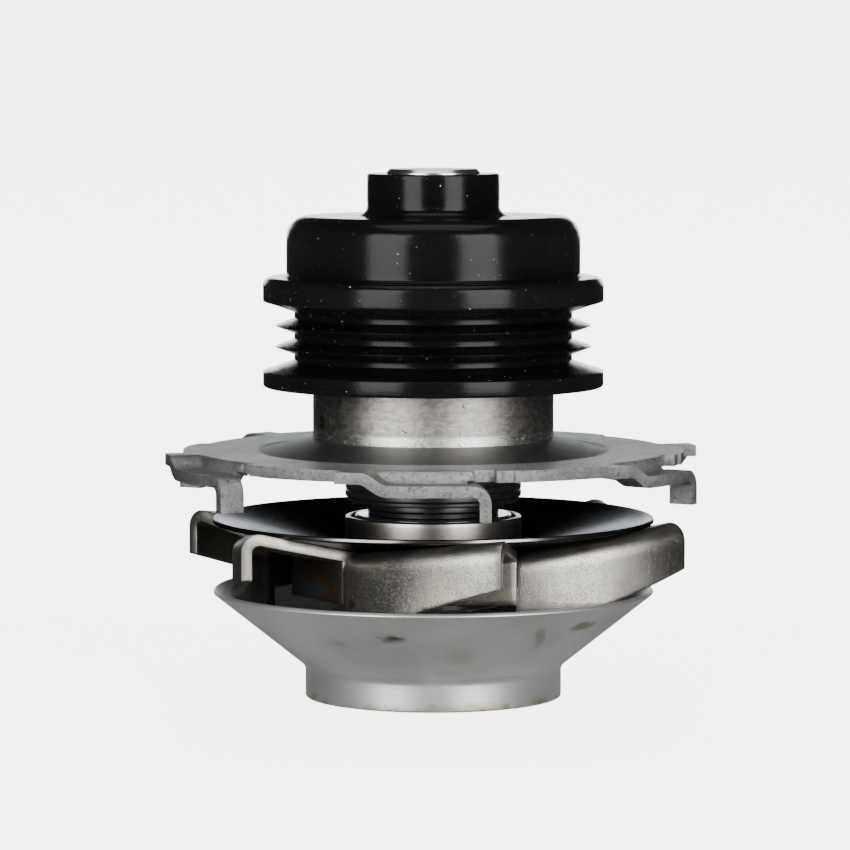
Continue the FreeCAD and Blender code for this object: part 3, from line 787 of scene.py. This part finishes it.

# %% [markdown]
# ## The plate's finish
# The plate is bare, tumbled steel: grey, with a fine grain, tiny dents and dark specks. Its raised
# cone is painted nearly black, a painted reflection of the black pulley above it. Noises of about
# 0.7, 1.4 and 8 mm carry the grain, the dents and the clouds; the bump and painted glints make it
# sparkle.

# %% Plate steel


def tumbled_steel():
    material, tree, shader = start_finish("tumbled_plate_steel", metallic=1.0)
    spot = place(tree)
    # 1 on the raised cone: there the colour gets a painted reflection of the dark pulley, the
    #                       roughness rises and the bump weakens
    drawn = step(tree, axis_distance(tree), LAND_R - 0.1, CONE_FOOT_R - 0.1)
    grain = noise(tree, spot, 1.5, 6.0, 0.8)
    dents = noise(tree, spot, 0.7, 4.0, 0.6)
    cloud = noise(tree, spot, 0.13, 4.0, 0.6)
    specks = step(tree, noise(tree, spot, 1.15, 5.0, 0.75), 0.53, 0.62)
    # Painted glints: small light spots in the colour that stand in for sparkling highlights
    glints = step(tree, noise(tree, spot, 2.9, 4.0, 0.75), 0.57, 0.68)
    colour = blended(tree, step(tree, cloud, 0.35, 0.65), (0.20, 0.197, 0.19),
                     (0.33, 0.33, 0.33))
    colour = tinted(tree, grain, 0.55, colour, (0.25, 0.245, 0.24))
    colour = tinted(tree, specks, 0.6, colour, (0.07, 0.067, 0.062))
    colour = tinted(tree, glints, 0.5, colour, (0.66, 0.66, 0.655))
    # Painted reflection: the cone's colour is pulled almost to black, as if it mirrored the black
    # pulley above
    set_colour(tree, shader, tinted(tree, drawn, 0.85, colour, (0.055, 0.054, 0.050)))
    rough = between(tree, grain, 0.30, 0.50)
    set_roughness(tree, shader, plus(tree, rough, times(tree, drawn, 0.06)))
    depth = math_node(tree, "SUBTRACT", 1.0, times(tree, drawn, 0.7))
    bumped(tree, shader, [(times(tree, grain, depth), 0.30), (times(tree, dents, depth), 0.10),
                          (specks, -0.03)])
    return material


stands_for(plate, "lock_plate", tumbled_steel())

# %% [markdown]
# ## The shaft seal
# Below the plate hangs the seal: a black pressed cup, the narrow carbon face under it, and the
# steel cup of the mating ring, which turns with the impeller. The cup's wall carries a few
# fine rolled rings; at this size a bump would do, but rings in the outline also catch a
# highlight on their edges.

# %% Seal cup and carbon face
CUP_SHEET = 0.8
SEAL_BORE_R = 8.61


def satin_black():
    material, tree, shader = start_finish("satin_black_seal", specular=0.45)
    rings = noise(tree, turned_place(tree), 1.9, 4.0, 0.6)
    black_paint = (0.0055, 0.0055, 0.0060)
    cloud = noise(tree, place(tree), 0.5, 4.0, 0.6)
    set_colour(tree, shader, blended(tree, cloud, black_paint, scaled(black_paint, 2.1)))
    set_roughness(tree, shader, between(tree, rings, 0.22, 0.42))
    bumped(tree, shader, [(rings, 0.02), (noise(tree, place(tree), 2.2, 3.0, 0.6), 0.01)])
    return material


def seal_cup_outline():
    """Closed outline of the cup, open downwards, with two V-shaped rolled rings in its wall."""
    outer, bottom, top = reach("seal_cup"), low("seal_cup"), high("seal_cup")
    inner, mouth, ring_depth = outer - CUP_SHEET, outer - 0.35, 0.22
    corners = [(inner, bottom, 0.2), (mouth, bottom, 0.25), (mouth, bottom + 0.7, 0.1),
               (outer, bottom + 1.0, 0.15)]
    for level in (bottom + 2.1, bottom + 3.3):
        corners += [(outer, level - ring_depth, 0.06), (outer - ring_depth, level, 0.06),
                    (outer, level + ring_depth, 0.06)]
    corners += [(outer, top, 0.4), (SEAL_BORE_R, top, 0.2), (SEAL_BORE_R, top - CUP_SHEET),
                (inner, top - CUP_SHEET, 0.4)]
    return corners


def carbon_outline():
    """Closed outline of the carbon ring: a narrow nose below and a full-width body above."""
    outer, bottom, top = reach("carbon_face"), low("carbon_face"), high("carbon_face")
    nose = outer - 0.9
    return [(SEAL_BORE_R, bottom, 0.1), (nose, bottom, 0.15), (nose, bottom + 0.8, 0.1),
            (outer, bottom + 1.1, 0.2), (outer, top, 0.1), (SEAL_BORE_R, top, 0.1)]


seal_black = satin_black()
cup = lathe("seal_cup_pressed", rounded(seal_cup_outline()), around=192)
stands_for(cup, "seal_cup", seal_black)
face = lathe("carbon_face_ring", rounded(carbon_outline()), around=160)
stands_for(face, "carbon_face", seal_black)

# %% Ring cup


def drawn_stainless(name, colour, warm):
    """Rolled steel with lines round it and warm and grey zones that drift round the piece."""
    material, tree, shader = start_finish(name, metallic=1.0)
    lines = noise(tree, turned_place(tree, 0.02), 2.2, 5.0, 0.7)
    drift = noise(tree, place(tree), 0.12, 3.0, 0.55)
    smear = noise(tree, stretched(tree, place(tree), [1.0, 1.0, 0.35]), 0.7, 4.0, 0.6)
    tone = blended(tree, step(tree, drift, 0.38, 0.62), colour, warm)
    set_colour(tree, shader, tinted(tree, smear, 0.5, tone, scaled(warm, 0.55)))
    set_roughness(tree, shader, between(tree, lines, 0.20, 0.42))
    bumped(tree, shader, [(lines, 0.012), (noise(tree, place(tree), 1.3, 3.0, 0.6), 0.008)])
    return material


def ring_cup_path():
    """Path (r, z, corner radius) of the sheet: out along the floor, then up the wall."""
    outer, floor, top = reach("mating_ring_cup"), low("mating_ring_cup"), high("mating_ring_cup")
    return [(JOURNAL_R, floor), (outer, floor, 1.3), (outer, top - 0.9), (outer - 0.02, top)]


ring_steel = drawn_stainless("drawn_ring_steel", (0.62, 0.59, 0.55), (0.50, 0.43, 0.36))
ring_outline = rounded(sheet_outline(ring_cup_path(), CUP_SHEET))
ring_cup = lathe("mating_ring_cup_drawn", ring_outline, around=192)
stands_for(ring_cup, "mating_ring_cup", ring_steel)

# %% [markdown]
# ## The shrouds
# Two spun steel discs hold the vanes: a shallow dish above and a steep cone below, which ends
# in the eye ring that the pump stands on. Both are closed sheet outlines turned round the
# axis. The cone and the dish have the same slopes as their CAD nodes.

# %% Shroud surfaces
SHROUD_R = 37.4
CONE_SLOPE = math.tan(math.radians(38.6))
DISH_SLOPE = math.tan(math.radians(14.2))
DISH_FLOOR_R = 15.6
HUB_R = 10.5
EYE_R, EYE_HEIGHT = 21.7, 5.3
FRONT_SHEET, BACK_SHEET = 0.9, 0.85


def front_path():
    """Path (r, z, corner radius): up the eye ring, then out and up along the cone."""
    foot = low("impeller_front_shroud")
    return [(EYE_R, foot), (EYE_R, foot + EYE_HEIGHT, 2.0),
            (SHROUD_R, foot + EYE_HEIGHT + (SHROUD_R - EYE_R) * CONE_SLOPE)]


def back_path():
    """Path (r, z, corner radius): out along the dish's flat floor, then up its slope."""
    floor = low("impeller_back_shroud")
    return [(HUB_R, floor), (DISH_FLOOR_R, floor, 3.85),
            (SHROUD_R, floor + (SHROUD_R - DISH_FLOOR_R) * DISH_SLOPE)]


front_outline = rounded(sheet_outline(front_path(), FRONT_SHEET))
front = lathe("front_shroud_spun", front_outline, around=320, longest=1.0)
back = lathe("back_shroud_spun", rounded(sheet_outline(back_path(), BACK_SHEET)), around=320)

# %% [markdown]
# ## Shroud finishes
# The cone is smooth satin steel with soft clouds, a few brown water stains and some spots of
# rust where its foot has stood. The dish is smoother still; its nearly black base colour and its
# dark specular tint are a painted reflection of the dark plate above it, and keep its far edge
# dark too. Stains are placed patches with ragged rims: the distance from a centre, moved by a
# noise.

# %% Satin steel with stains
BROWN, TAN, RUST = (0.17, 0.125, 0.08), (0.33, 0.30, 0.22), (0.33, 0.25, 0.13)


def rust_mask(tree, foot):
    """1 in ragged spots just above the foot: the height, moved by a noise, passes a step."""
    spot = place(tree)
    raised = plus(tree, split(tree, spot)[2], times(tree, noise(tree, spot, 0.45, 4.0, 0.6), 2.2))
    near = step(tree, raised, foot + 2.7, foot + 1.6)
    return times(tree, near, step(tree, noise(tree, spot, 0.30, 4.0, 0.65), 0.50, 0.60))


def shroud_steel(name, metal, light, dark, rough_low, rough_high, stains=(), foot=None,
                 depth=0.012):
    """Each stain is (centre, size, colour, strength), with the lengths in millimetres."""
    material, tree, shader = start_finish(name, metallic=metal)
    spot = place(tree)
    cloud = noise(tree, spot, 0.07, 5.0, 0.55, 0.4)
    grain = noise(tree, spot, 2.8, 4.0, 0.65)
    lines = noise(tree, turned_place(tree, 0.02), 1.3, 4.0, 0.6)
    tone = blended(tree, step(tree, cloud, 0.3, 0.7), dark, light)
    tone = tinted(tree, grain, 0.25, tone, scaled(dark, 0.7))
    for centre, size, colour, strength in stains:
        speckle = between(tree, noise(tree, spot, 1.6, 4.0, 0.7), 0.35, 1.25)
        stain = times(tree, patch(tree, centre, size), strength)
        tone = blended(tree, times(tree, stain, speckle, clamp=True), tone, colour)
    if foot is not None:
        tone = tinted(tree, rust_mask(tree, foot), 0.75, tone, RUST)
    set_colour(tree, shader, tone)
    rough = between(tree, cloud, rough_low, rough_high)
    set_roughness(tree, shader, plus(tree, rough, times(tree, lines, 0.05)))
    bumped(tree, shader, [(lines, depth), (grain, depth)])
    return material


front_steel = shroud_steel(
    "satin_front_steel", 0.93, (0.53, 0.53, 0.525), (0.43, 0.43, 0.425), 0.33, 0.45,
    stains=[((-7.2, -33.0, 13.4), (3.2, 5.0, 1.3), (0.11, 0.085, 0.055), 0.8),
            ((-6.4, -33.0, 13.7), (1.6, 5.0, 0.6), (0.06, 0.04, 0.02), 0.9),
            ((4.5, -29.0, 9.0), (4.2, 5.0, 3.2), TAN, 0.55),
            ((2.0, -26.0, 6.5), (3.0, 5.0, 1.6), TAN, 0.45),
            ((17.5, -27.0, 12.5), (1.3, 5.0, 4.0), BROWN, 0.5),
            ((24.5, -22.0, 14.6), (3.0, 5.0, 1.2), BROWN, 0.85),
            ((-16.0, -28.0, 12.0), (2.4, 5.0, 1.2), BROWN, 0.4),
            ((6.0, -21.0, 0.8), (9.0, 5.0, 1.0), TAN, 0.7)],
    foot=low("impeller_front_shroud"))
# The dish's nearly black tones are a painted reflection of the dark plate above it, not the
# steel's own colour
back_steel = shroud_steel("mirror_back_steel", 1.0, (0.15, 0.15, 0.155), (0.11, 0.11, 0.115),
                          0.16, 0.22, depth=0.002)
# The dark specular tint dims the dish's grazing reflections: painted shade at its far edge
back_shader = next(node for node in back_steel.node_tree.nodes if node.type == "BSDF_PRINCIPLED")
back_shader.inputs["Specular Tint"].default_value = (0.30, 0.30, 0.31, 1)
stands_for(front, "impeller_front_shroud", front_steel)
stands_for(back, "impeller_back_shroud", back_steel)
print("finishes", front_steel.name, "and", back_steel.name)

# %% [markdown]
# ## The vane spider
# Six arms lie under the dish, and the outer part of each is bent down into a curved vane that
# reaches the cone. A vane is a circular arc in plan, so its skin is a grid of arc position by
# developed height: up the wall, round a 3 mm bend, then inwards along the dish. The inner edge
# of the arms follows the hub and the next vane's corner, where the grids meet and are welded.

# %% Spider sizes
VANE_COUNT = 6
VANE_SHEET = 1.9
VANE_BEND = 3.0
VANE_R = 39.5
TIP_R, CORNER_R = 43.7, 28.5
TIP_AZIMUTH, VANE_SPAN = 14.2, 45.7
STRIP_LENGTH, STRIP_DROP = 17.0, 4.0
TIP_DROP = 8.4
HUB_SHARE, BEND_SHARE = 0.5, 0.8        # shares of a vane's arc, for the arm's inner edge
spider_top = low("impeller_back_shroud")
print("vanes from", CORNER_R, "to", TIP_R, "mm, arc radius", VANE_R)

# %% Levels above and below a vane


def plan(radius, azimuth):
    """Plan point at an azimuth in degrees, from -Y towards +X."""
    a = np.radians(azimuth)
    return np.stack([radius * np.sin(a), -radius * np.cos(a)], -1)


def under_dish(points):
    """Level of the dish's underside above plan points."""
    radius = np.linalg.norm(points, axis=-1)
    return spider_top + np.maximum(radius - DISH_FLOOR_R, 0) * DISH_SLOPE


def vane_foot(points):
    """Lower edge of a vane: on the cone's inner face, and beyond its rim up to the tip."""
    radius = np.linalg.norm(points, axis=-1)
    cone = front_path()[2]
    unit = np.array([1.0, CONE_SLOPE]) / math.hypot(1.0, CONE_SLOPE)
    rim_r = cone[0] - FRONT_SHEET * unit[1]
    rim_z = cone[1] + FRONT_SHEET * unit[0]
    tip = spider_top + (TIP_R - DISH_FLOOR_R) * DISH_SLOPE - TIP_DROP
    outside = rim_z + (radius - rim_r) * (tip - rim_z) / (TIP_R - rim_r)
    return np.where(radius < rim_r, rim_z + (radius - rim_r) * CONE_SLOPE, outside)


print("dish over the tip at", round(float(under_dish(plan(TIP_R, TIP_AZIMUTH))), 2), "mm")

# %% A vane's arc, wall and bend


def vane_arc():
    """Shares u along a vane, its plan points and the outward directions there. The arc of
    VANE_R passes through the inner corner and the tip; its centre lies off the middle of
    their chord by the root of VANE_R squared less half the chord squared."""
    corner, tip = plan(CORNER_R, TIP_AZIMUTH - VANE_SPAN), plan(TIP_R, TIP_AZIMUTH)
    chord = tip - corner
    inward = np.array([-chord[1], chord[0]]) / np.linalg.norm(chord)
    centre = (corner + tip) / 2 + inward * math.sqrt(VANE_R ** 2 - chord @ chord / 4)
    u = np.concatenate([np.linspace(0, HUB_SHARE, 21), np.linspace(HUB_SHARE, BEND_SHARE, 13)[1:],
                        np.linspace(BEND_SHARE, 1, 7)[1:]])
    first = np.arctan2(*(corner - centre)[::-1])
    last = np.arctan2(*(tip - centre)[::-1])
    theta = first + u * ((last - first + np.pi) % (2 * np.pi) - np.pi)
    outward = np.stack([np.cos(theta), np.sin(theta)], -1)
    return u, centre + VANE_R * outward, outward


def vane_rows(wall, outward):
    """Rows of points up the wall, then round a bend: a circle of VANE_BEND about a hinge one
    bend inside the wall, turned through a right angle plus the dish's fall there, so that it
    ends along the dish."""
    radial = wall / np.linalg.norm(wall, axis=1)[:, None]
    fall = np.arctan(DISH_SLOPE * np.sum(radial * outward, 1))
    bend_start = under_dish(wall) - VANE_BEND * np.tan((np.pi / 2 + fall) / 2)
    rows = []
    for t in np.linspace(0, 1, 13):
        rows.append(np.column_stack([wall, vane_foot(wall) * (1 - t) + bend_start * t]))
    hinge = np.column_stack([wall - outward * VANE_BEND, bend_start])
    level_out = np.column_stack([outward, np.zeros(len(wall))])
    for t in np.linspace(0, 1, 9)[1:]:
        turn = (t * (np.pi / 2 + fall))[:, None]
        rows.append(hinge + VANE_BEND * (np.cos(turn) * level_out + np.sin(turn) * [0, 0, 1]))
    rows[-1][:, 2] = under_dish(rows[-1][:, :2])
    return rows


u_share, vane_wall, vane_outward = vane_arc()
print("a vane is", len(u_share), "points long")

# %% An arm's inner edge and its leading strip


def arm_ends(u, bend_end, corner):
    """Where each line of the arm ends: first round the hub's circle, then on a straight run
    to the start of the next vane's bend, and last along that to the next vane's corner."""
    pair = np.column_stack([np.stack([bend_end[0], corner]), [0, 0]])
    next_bend, next_corner = turned_on(pair, 1, VANE_COUNT)[:, :2]
    start_angle = np.degrees(np.arctan2(bend_end[0][0], -bend_end[0][1]))
    on_hub, on_corner = u <= HUB_SHARE + 1e-9, u > BEND_SHARE + 1e-9
    on_run = ~on_hub & ~on_corner
    ends = np.zeros_like(bend_end)
    ends[on_hub] = plan(HUB_R, start_angle + u[on_hub] / HUB_SHARE * 360 / VANE_COUNT)
    hub_end = ends[on_hub][-1]
    t = ((u[on_run] - HUB_SHARE) / (BEND_SHARE - HUB_SHARE))[:, None]
    ends[on_run] = hub_end + (next_bend - hub_end) * t
    t = ((u[on_corner] - BEND_SHARE) / (1 - BEND_SHARE))[:, None]
    ends[on_corner] = next_bend + (next_corner - next_bend) * t
    return ends


def leading_strip(wall, outward):
    """A flat strip that carries the arc's tangent on from the inner corner, away from the tip,
    between a level under the sheet and the dish."""
    tangent = np.array([outward[0][1], -outward[0][0]])
    backward = -tangent if tangent @ (wall[-1] - wall[0]) > 0 else tangent
    line = wall[0] + np.linspace(0, STRIP_LENGTH, 15)[:, None] * backward
    ceiling = under_dish(line) - VANE_SHEET * 0.9
    floor = np.full(len(line), spider_top - VANE_SHEET - STRIP_DROP)
    return np.stack([np.column_stack([line, floor * (1 - t) + ceiling * t])
                     for t in np.linspace(0, 1, 8)])


def spider_patches():
    """Each arm is one grid from the vane's foot to the hub, and its strip is a second one."""
    rows = vane_rows(vane_wall, vane_outward)
    bend_end = rows[-1][:, :2].copy()
    ends = arm_ends(u_share, bend_end, vane_wall[0])
    for w in np.linspace(0, 1, 13)[1:]:
        flat = bend_end + (ends - bend_end) * w
        rows.append(np.column_stack([flat, under_dish(flat)]))
    arm, strip = np.array(rows), leading_strip(vane_wall, vane_outward)
    arm_quads = grid_quads(*arm.shape[:2])
    strip_quads = grid_quads(*strip.shape[:2])[:, ::-1]
    patches = []
    for index in range(VANE_COUNT):
        patches.append((turned_on(arm, index, VANE_COUNT), arm_quads))
        patches.append((turned_on(strip, index, VANE_COUNT), strip_quads))
    return patches


spider = sheet_object("vane_spider_stamped", spider_patches(),
                      ((12, 0, spider_top), (0, 0, 1)), VANE_SHEET, edge=0.28)

# %% [markdown]
# ## The vanes' finish
# The vanes are raw pickled steel: warm grey and finely speckled, with faint drawn lines,
# yellow and brown water marks near their feet, and a blue and brown heat tint on a strip that
# was welded. Inside the vanes' corners, where little light comes, the skin is darker.

# %% Speckled steel
HEAT_TINTS = [((-20.5, -22.0, 20.0), (5.4, 12.0, 4.6), (0.24, 0.12, 0.045), 0.9),
              ((-20.8, -22.0, 20.0), (3.9, 12.0, 3.2), (0.12, 0.18, 0.27), 0.95)]


def vane_steel():
    material, tree, shader = start_finish("speckled_vane_steel", metallic=1.0)
    spot = place(tree)
    grain = noise(tree, spot, 2.8, 5.0, 0.7)
    speckle = step(tree, noise(tree, spot, 2.4, 5.0, 0.75), 0.52, 0.64)
    cloud = noise(tree, spot, 0.11, 4.0, 0.6)
    drawn = noise(tree, stretched(tree, spot, [1.0, 1.0, 0.08]), 1.7, 4.0, 0.65)
    tone = blended(tree, step(tree, cloud, 0.35, 0.65), (0.22, 0.21, 0.19), (0.38, 0.365, 0.33))
    tone = tinted(tree, speckle, 0.34, tone, (0.14, 0.13, 0.112))
    tone = tinted(tree, grain, 0.35, tone, (0.20, 0.19, 0.172))
    yellow = noise(tree, stretched(tree, spot, [1.0, 1.0, 0.5]), 0.16, 4.0, 0.6)
    tone = tinted(tree, step(tree, yellow, 0.55, 0.66), 0.5, tone, (0.40, 0.34, 0.20))
    rim = front_path()[2][1]
    near_rim = step(tree, split(tree, spot)[2], rim + 3.2, rim + 0.4)
    blot = noise(tree, stretched(tree, spot, [1.0, 1.0, 0.6]), 0.34, 5.0, 0.65)
    marks = times(tree, near_rim, step(tree, blot, 0.54, 0.64))
    tone = tinted(tree, marks, 0.8, tone, (0.12, 0.075, 0.04))
    inner = step(tree, axis_distance(tree), CORNER_R + 0.1, CORNER_R - 1.5)
    tone = tinted(tree, inner, 0.75, tone, (0.075, 0.07, 0.062))
    for centre, size, tint, strength in HEAT_TINTS:
        tone = tinted(tree, patch(tree, centre, size, ragged=0.25), strength, tone, tint)
    set_colour(tree, shader, tone)
    set_roughness(tree, shader, between(tree, grain, 0.28, 0.46))
    bumped(tree, shader, [(grain, 0.03), (drawn, 0.015), (speckle, -0.01)])
    return material


vane_finish = vane_steel()
stands_for(spider, "vane_spider", vane_finish)
print("finish", vane_finish.name, "with", len(HEAT_TINTS), "heat tints")

# %% [markdown]
# ## Pieces inside
# The bearing's balls, rings and cages and the seal's inner parts are hidden at every pose, but
# they are part of the object and can be seen when it is taken apart. Their CAD shapes are
# right, so each keeps its mesh and gets its own finish.

# %% Finishes of the inner pieces


def plain_finish(name, colour, metallic, rough_low, rough_high, depth=0.01):
    material, tree, shader = start_finish(name, metallic=metallic)
    cloud = noise(tree, place(tree), 0.24, 4.0, 0.6)
    grain = noise(tree, place(tree), 2.4, 4.0, 0.65)
    set_colour(tree, shader, blended(tree, cloud, scaled(colour, 0.75), colour))
    set_roughness(tree, shader, between(tree, grain, rough_low, rough_high))
    bumped(tree, shader, [(grain, depth)])
    return material


inner_finishes = {
    "bearing_outer_ring": plain_finish("ground_race_steel", (0.62, 0.62, 0.63), 1.0, 0.12, 0.24),
    "ball_row_upper": plain_finish("ball_steel", (0.72, 0.72, 0.73), 1.0, 0.05, 0.10, 0.001),
    "ball_cage_upper": plain_finish("cage_nylon", (0.55, 0.42, 0.22), 0.0, 0.40, 0.55),
    "bearing_seal_upper": plain_finish("moulded_rubber", (0.02, 0.02, 0.02), 0.0, 0.5, 0.7),
    "seal_spring": plain_finish("spring_wire", (0.45, 0.44, 0.42), 1.0, 0.20, 0.35),
    "seal_face_carrier": plain_finish("black_carrier", (0.02, 0.02, 0.022), 0.3, 0.35, 0.5),
    "mating_ring": plain_finish("lapped_ceramic", (0.02, 0.02, 0.02), 0.0, 0.10, 0.2, 0.002),
    "impeller_hub": ground_steel("turned_hub_steel", (0.52, 0.51, 0.49), 0.22, 0.40, 0.02)}
same_as = {"ball_row_lower": "ball_row_upper", "ball_cage_lower": "ball_cage_upper",
           "bearing_seal_lower": "bearing_seal_upper", "slinger": "bearing_seal_upper",
           "seal_bellows": "bearing_seal_upper", "mating_ring_boot": "bearing_seal_upper"}
inner_finishes.update({name: inner_finishes[twin] for name, twin in same_as.items()})
for name, finish in inner_finishes.items():
    nodes[name].data.materials.clear()
    nodes[name].data.materials.append(finish)
print("inner pieces finished:", len(inner_finishes))

# %% [markdown]
# ## Floor, light and camera
# The pump stands on a pale, plain floor that curves up behind it. The floor glows, which keeps
# it nearly white, and it is hidden from reflections, where it would wash out the steel. Two
# tall soft boxes left and right of the camera draw the two bands in the black coat, with a
# dark gap between them. A weak, wide light overhead lifts the plate's land, and a low one far
# behind is seen only in reflections. The camera looks slightly down from far away with a long
# lens, so that circles stay flat ellipses.

# %% Floor
FLOOR_FRONT, FLOOR_BACK, WALL_TOP = -3.0, 2.0, 3.2      # metres
FLOOR_BEND, FLOOR_HALF_WIDTH = 0.8, 3.5
FLOOR_GAP = 0.0002              # below the pump's foot
FLOOR_GLOW = 4.0


def stage_floor():
    """A floor that turns up into a wall: y and z follow a line, a quarter circle and a line."""
    turn = np.linspace(0, np.pi / 2, 24)
    y = np.concatenate([[FLOOR_FRONT], FLOOR_BACK - FLOOR_BEND + FLOOR_BEND * np.sin(turn),
                        [FLOOR_BACK]])
    z = np.concatenate([[0.0], FLOOR_BEND - FLOOR_BEND * np.cos(turn), [WALL_TOP]])
    x = np.array([-FLOOR_HALF_WIDTH, FLOOR_HALF_WIDTH])
    y_grid, x_grid = np.meshgrid(y, x, indexing="ij")
    z_grid = np.repeat(z[:, None], 2, 1)
    mesh = bpy.data.meshes.new("stage_floor")
    points = np.stack([x_grid, y_grid, z_grid - FLOOR_GAP], -1).reshape(-1, 3)
    mesh.from_pydata(points, [], grid_quads(len(y), 2)[:, ::-1])
    mesh.shade_smooth()
    floor = linked("stage_floor", mesh)
    material, _, shader = start_finish("pale_paper", specular=0.0)
    shader.inputs["Base Color"].default_value = (0.86, 0.86, 0.86, 1)
    shader.inputs["Roughness"].default_value = 0.9
    shader.inputs["Emission Color"].default_value = (1, 1, 1, 1)
    shader.inputs["Emission Strength"].default_value = FLOOR_GLOW
    mesh.materials.append(material)
    floor.visible_glossy = False


stage_floor()
print("floor staged")

# %% Lights


def soft_box(name, place_at, target, size, power, colour=(1, 1, 1)):
    """A rectangular light of a size in metres and a power in watts, turned to a target."""
    light = bpy.data.lights.new(name, "AREA")
    light.shape = "RECTANGLE"
    light.size, light.size_y = size
    light.energy = power
    light.color = colour
    lamp = linked(name, light)
    lamp.location = place_at
    lamp.rotation_euler = (Vector(target) - Vector(place_at)).to_track_quat("-Z", "Y").to_euler()
    return lamp


aim = (0, 0, 0.045)
soft_box("left_box", (-0.62, -0.85, 0.33), aim, (0.60, 0.9), 20)
soft_box("right_box", (0.62, -0.85, 0.33), aim, (0.60, 0.9), 22)
soft_box("top_box", (0, -0.1, 1.1), aim, (0.9, 0.7), 5)
horizon = soft_box("horizon_box", (0, 1.5, 0.17), (0, 0, 0.05), (1.1, 0.26), 4, (0.92, 0.96, 1.0))
horizon.visible_camera = False
horizon.visible_diffuse = False
world = bpy.data.worlds.new("studio")
world.use_nodes = True
world.node_tree.nodes["Background"].inputs["Color"].default_value = (0.85, 0.87, 0.9, 1)
world.node_tree.nodes["Background"].inputs["Strength"].default_value = 0.04
bpy.context.scene.world = world
print("lights aimed at", aim)

# %% Camera
LOOK_DOWN = 4.72                # degrees
camera_data = bpy.data.cameras.new("camera")
camera_data.lens = 189
camera_data.sensor_width = 36
camera_data.clip_end = 20
camera = linked("camera", camera_data)
camera.location = (-0.0014, -0.7525, 0.1081)
camera.rotation_euler = (math.radians(90 - LOOK_DOWN), 0, 0)
bpy.context.scene.camera = camera
print("camera at", tuple(round(v, 3) for v in camera.location))
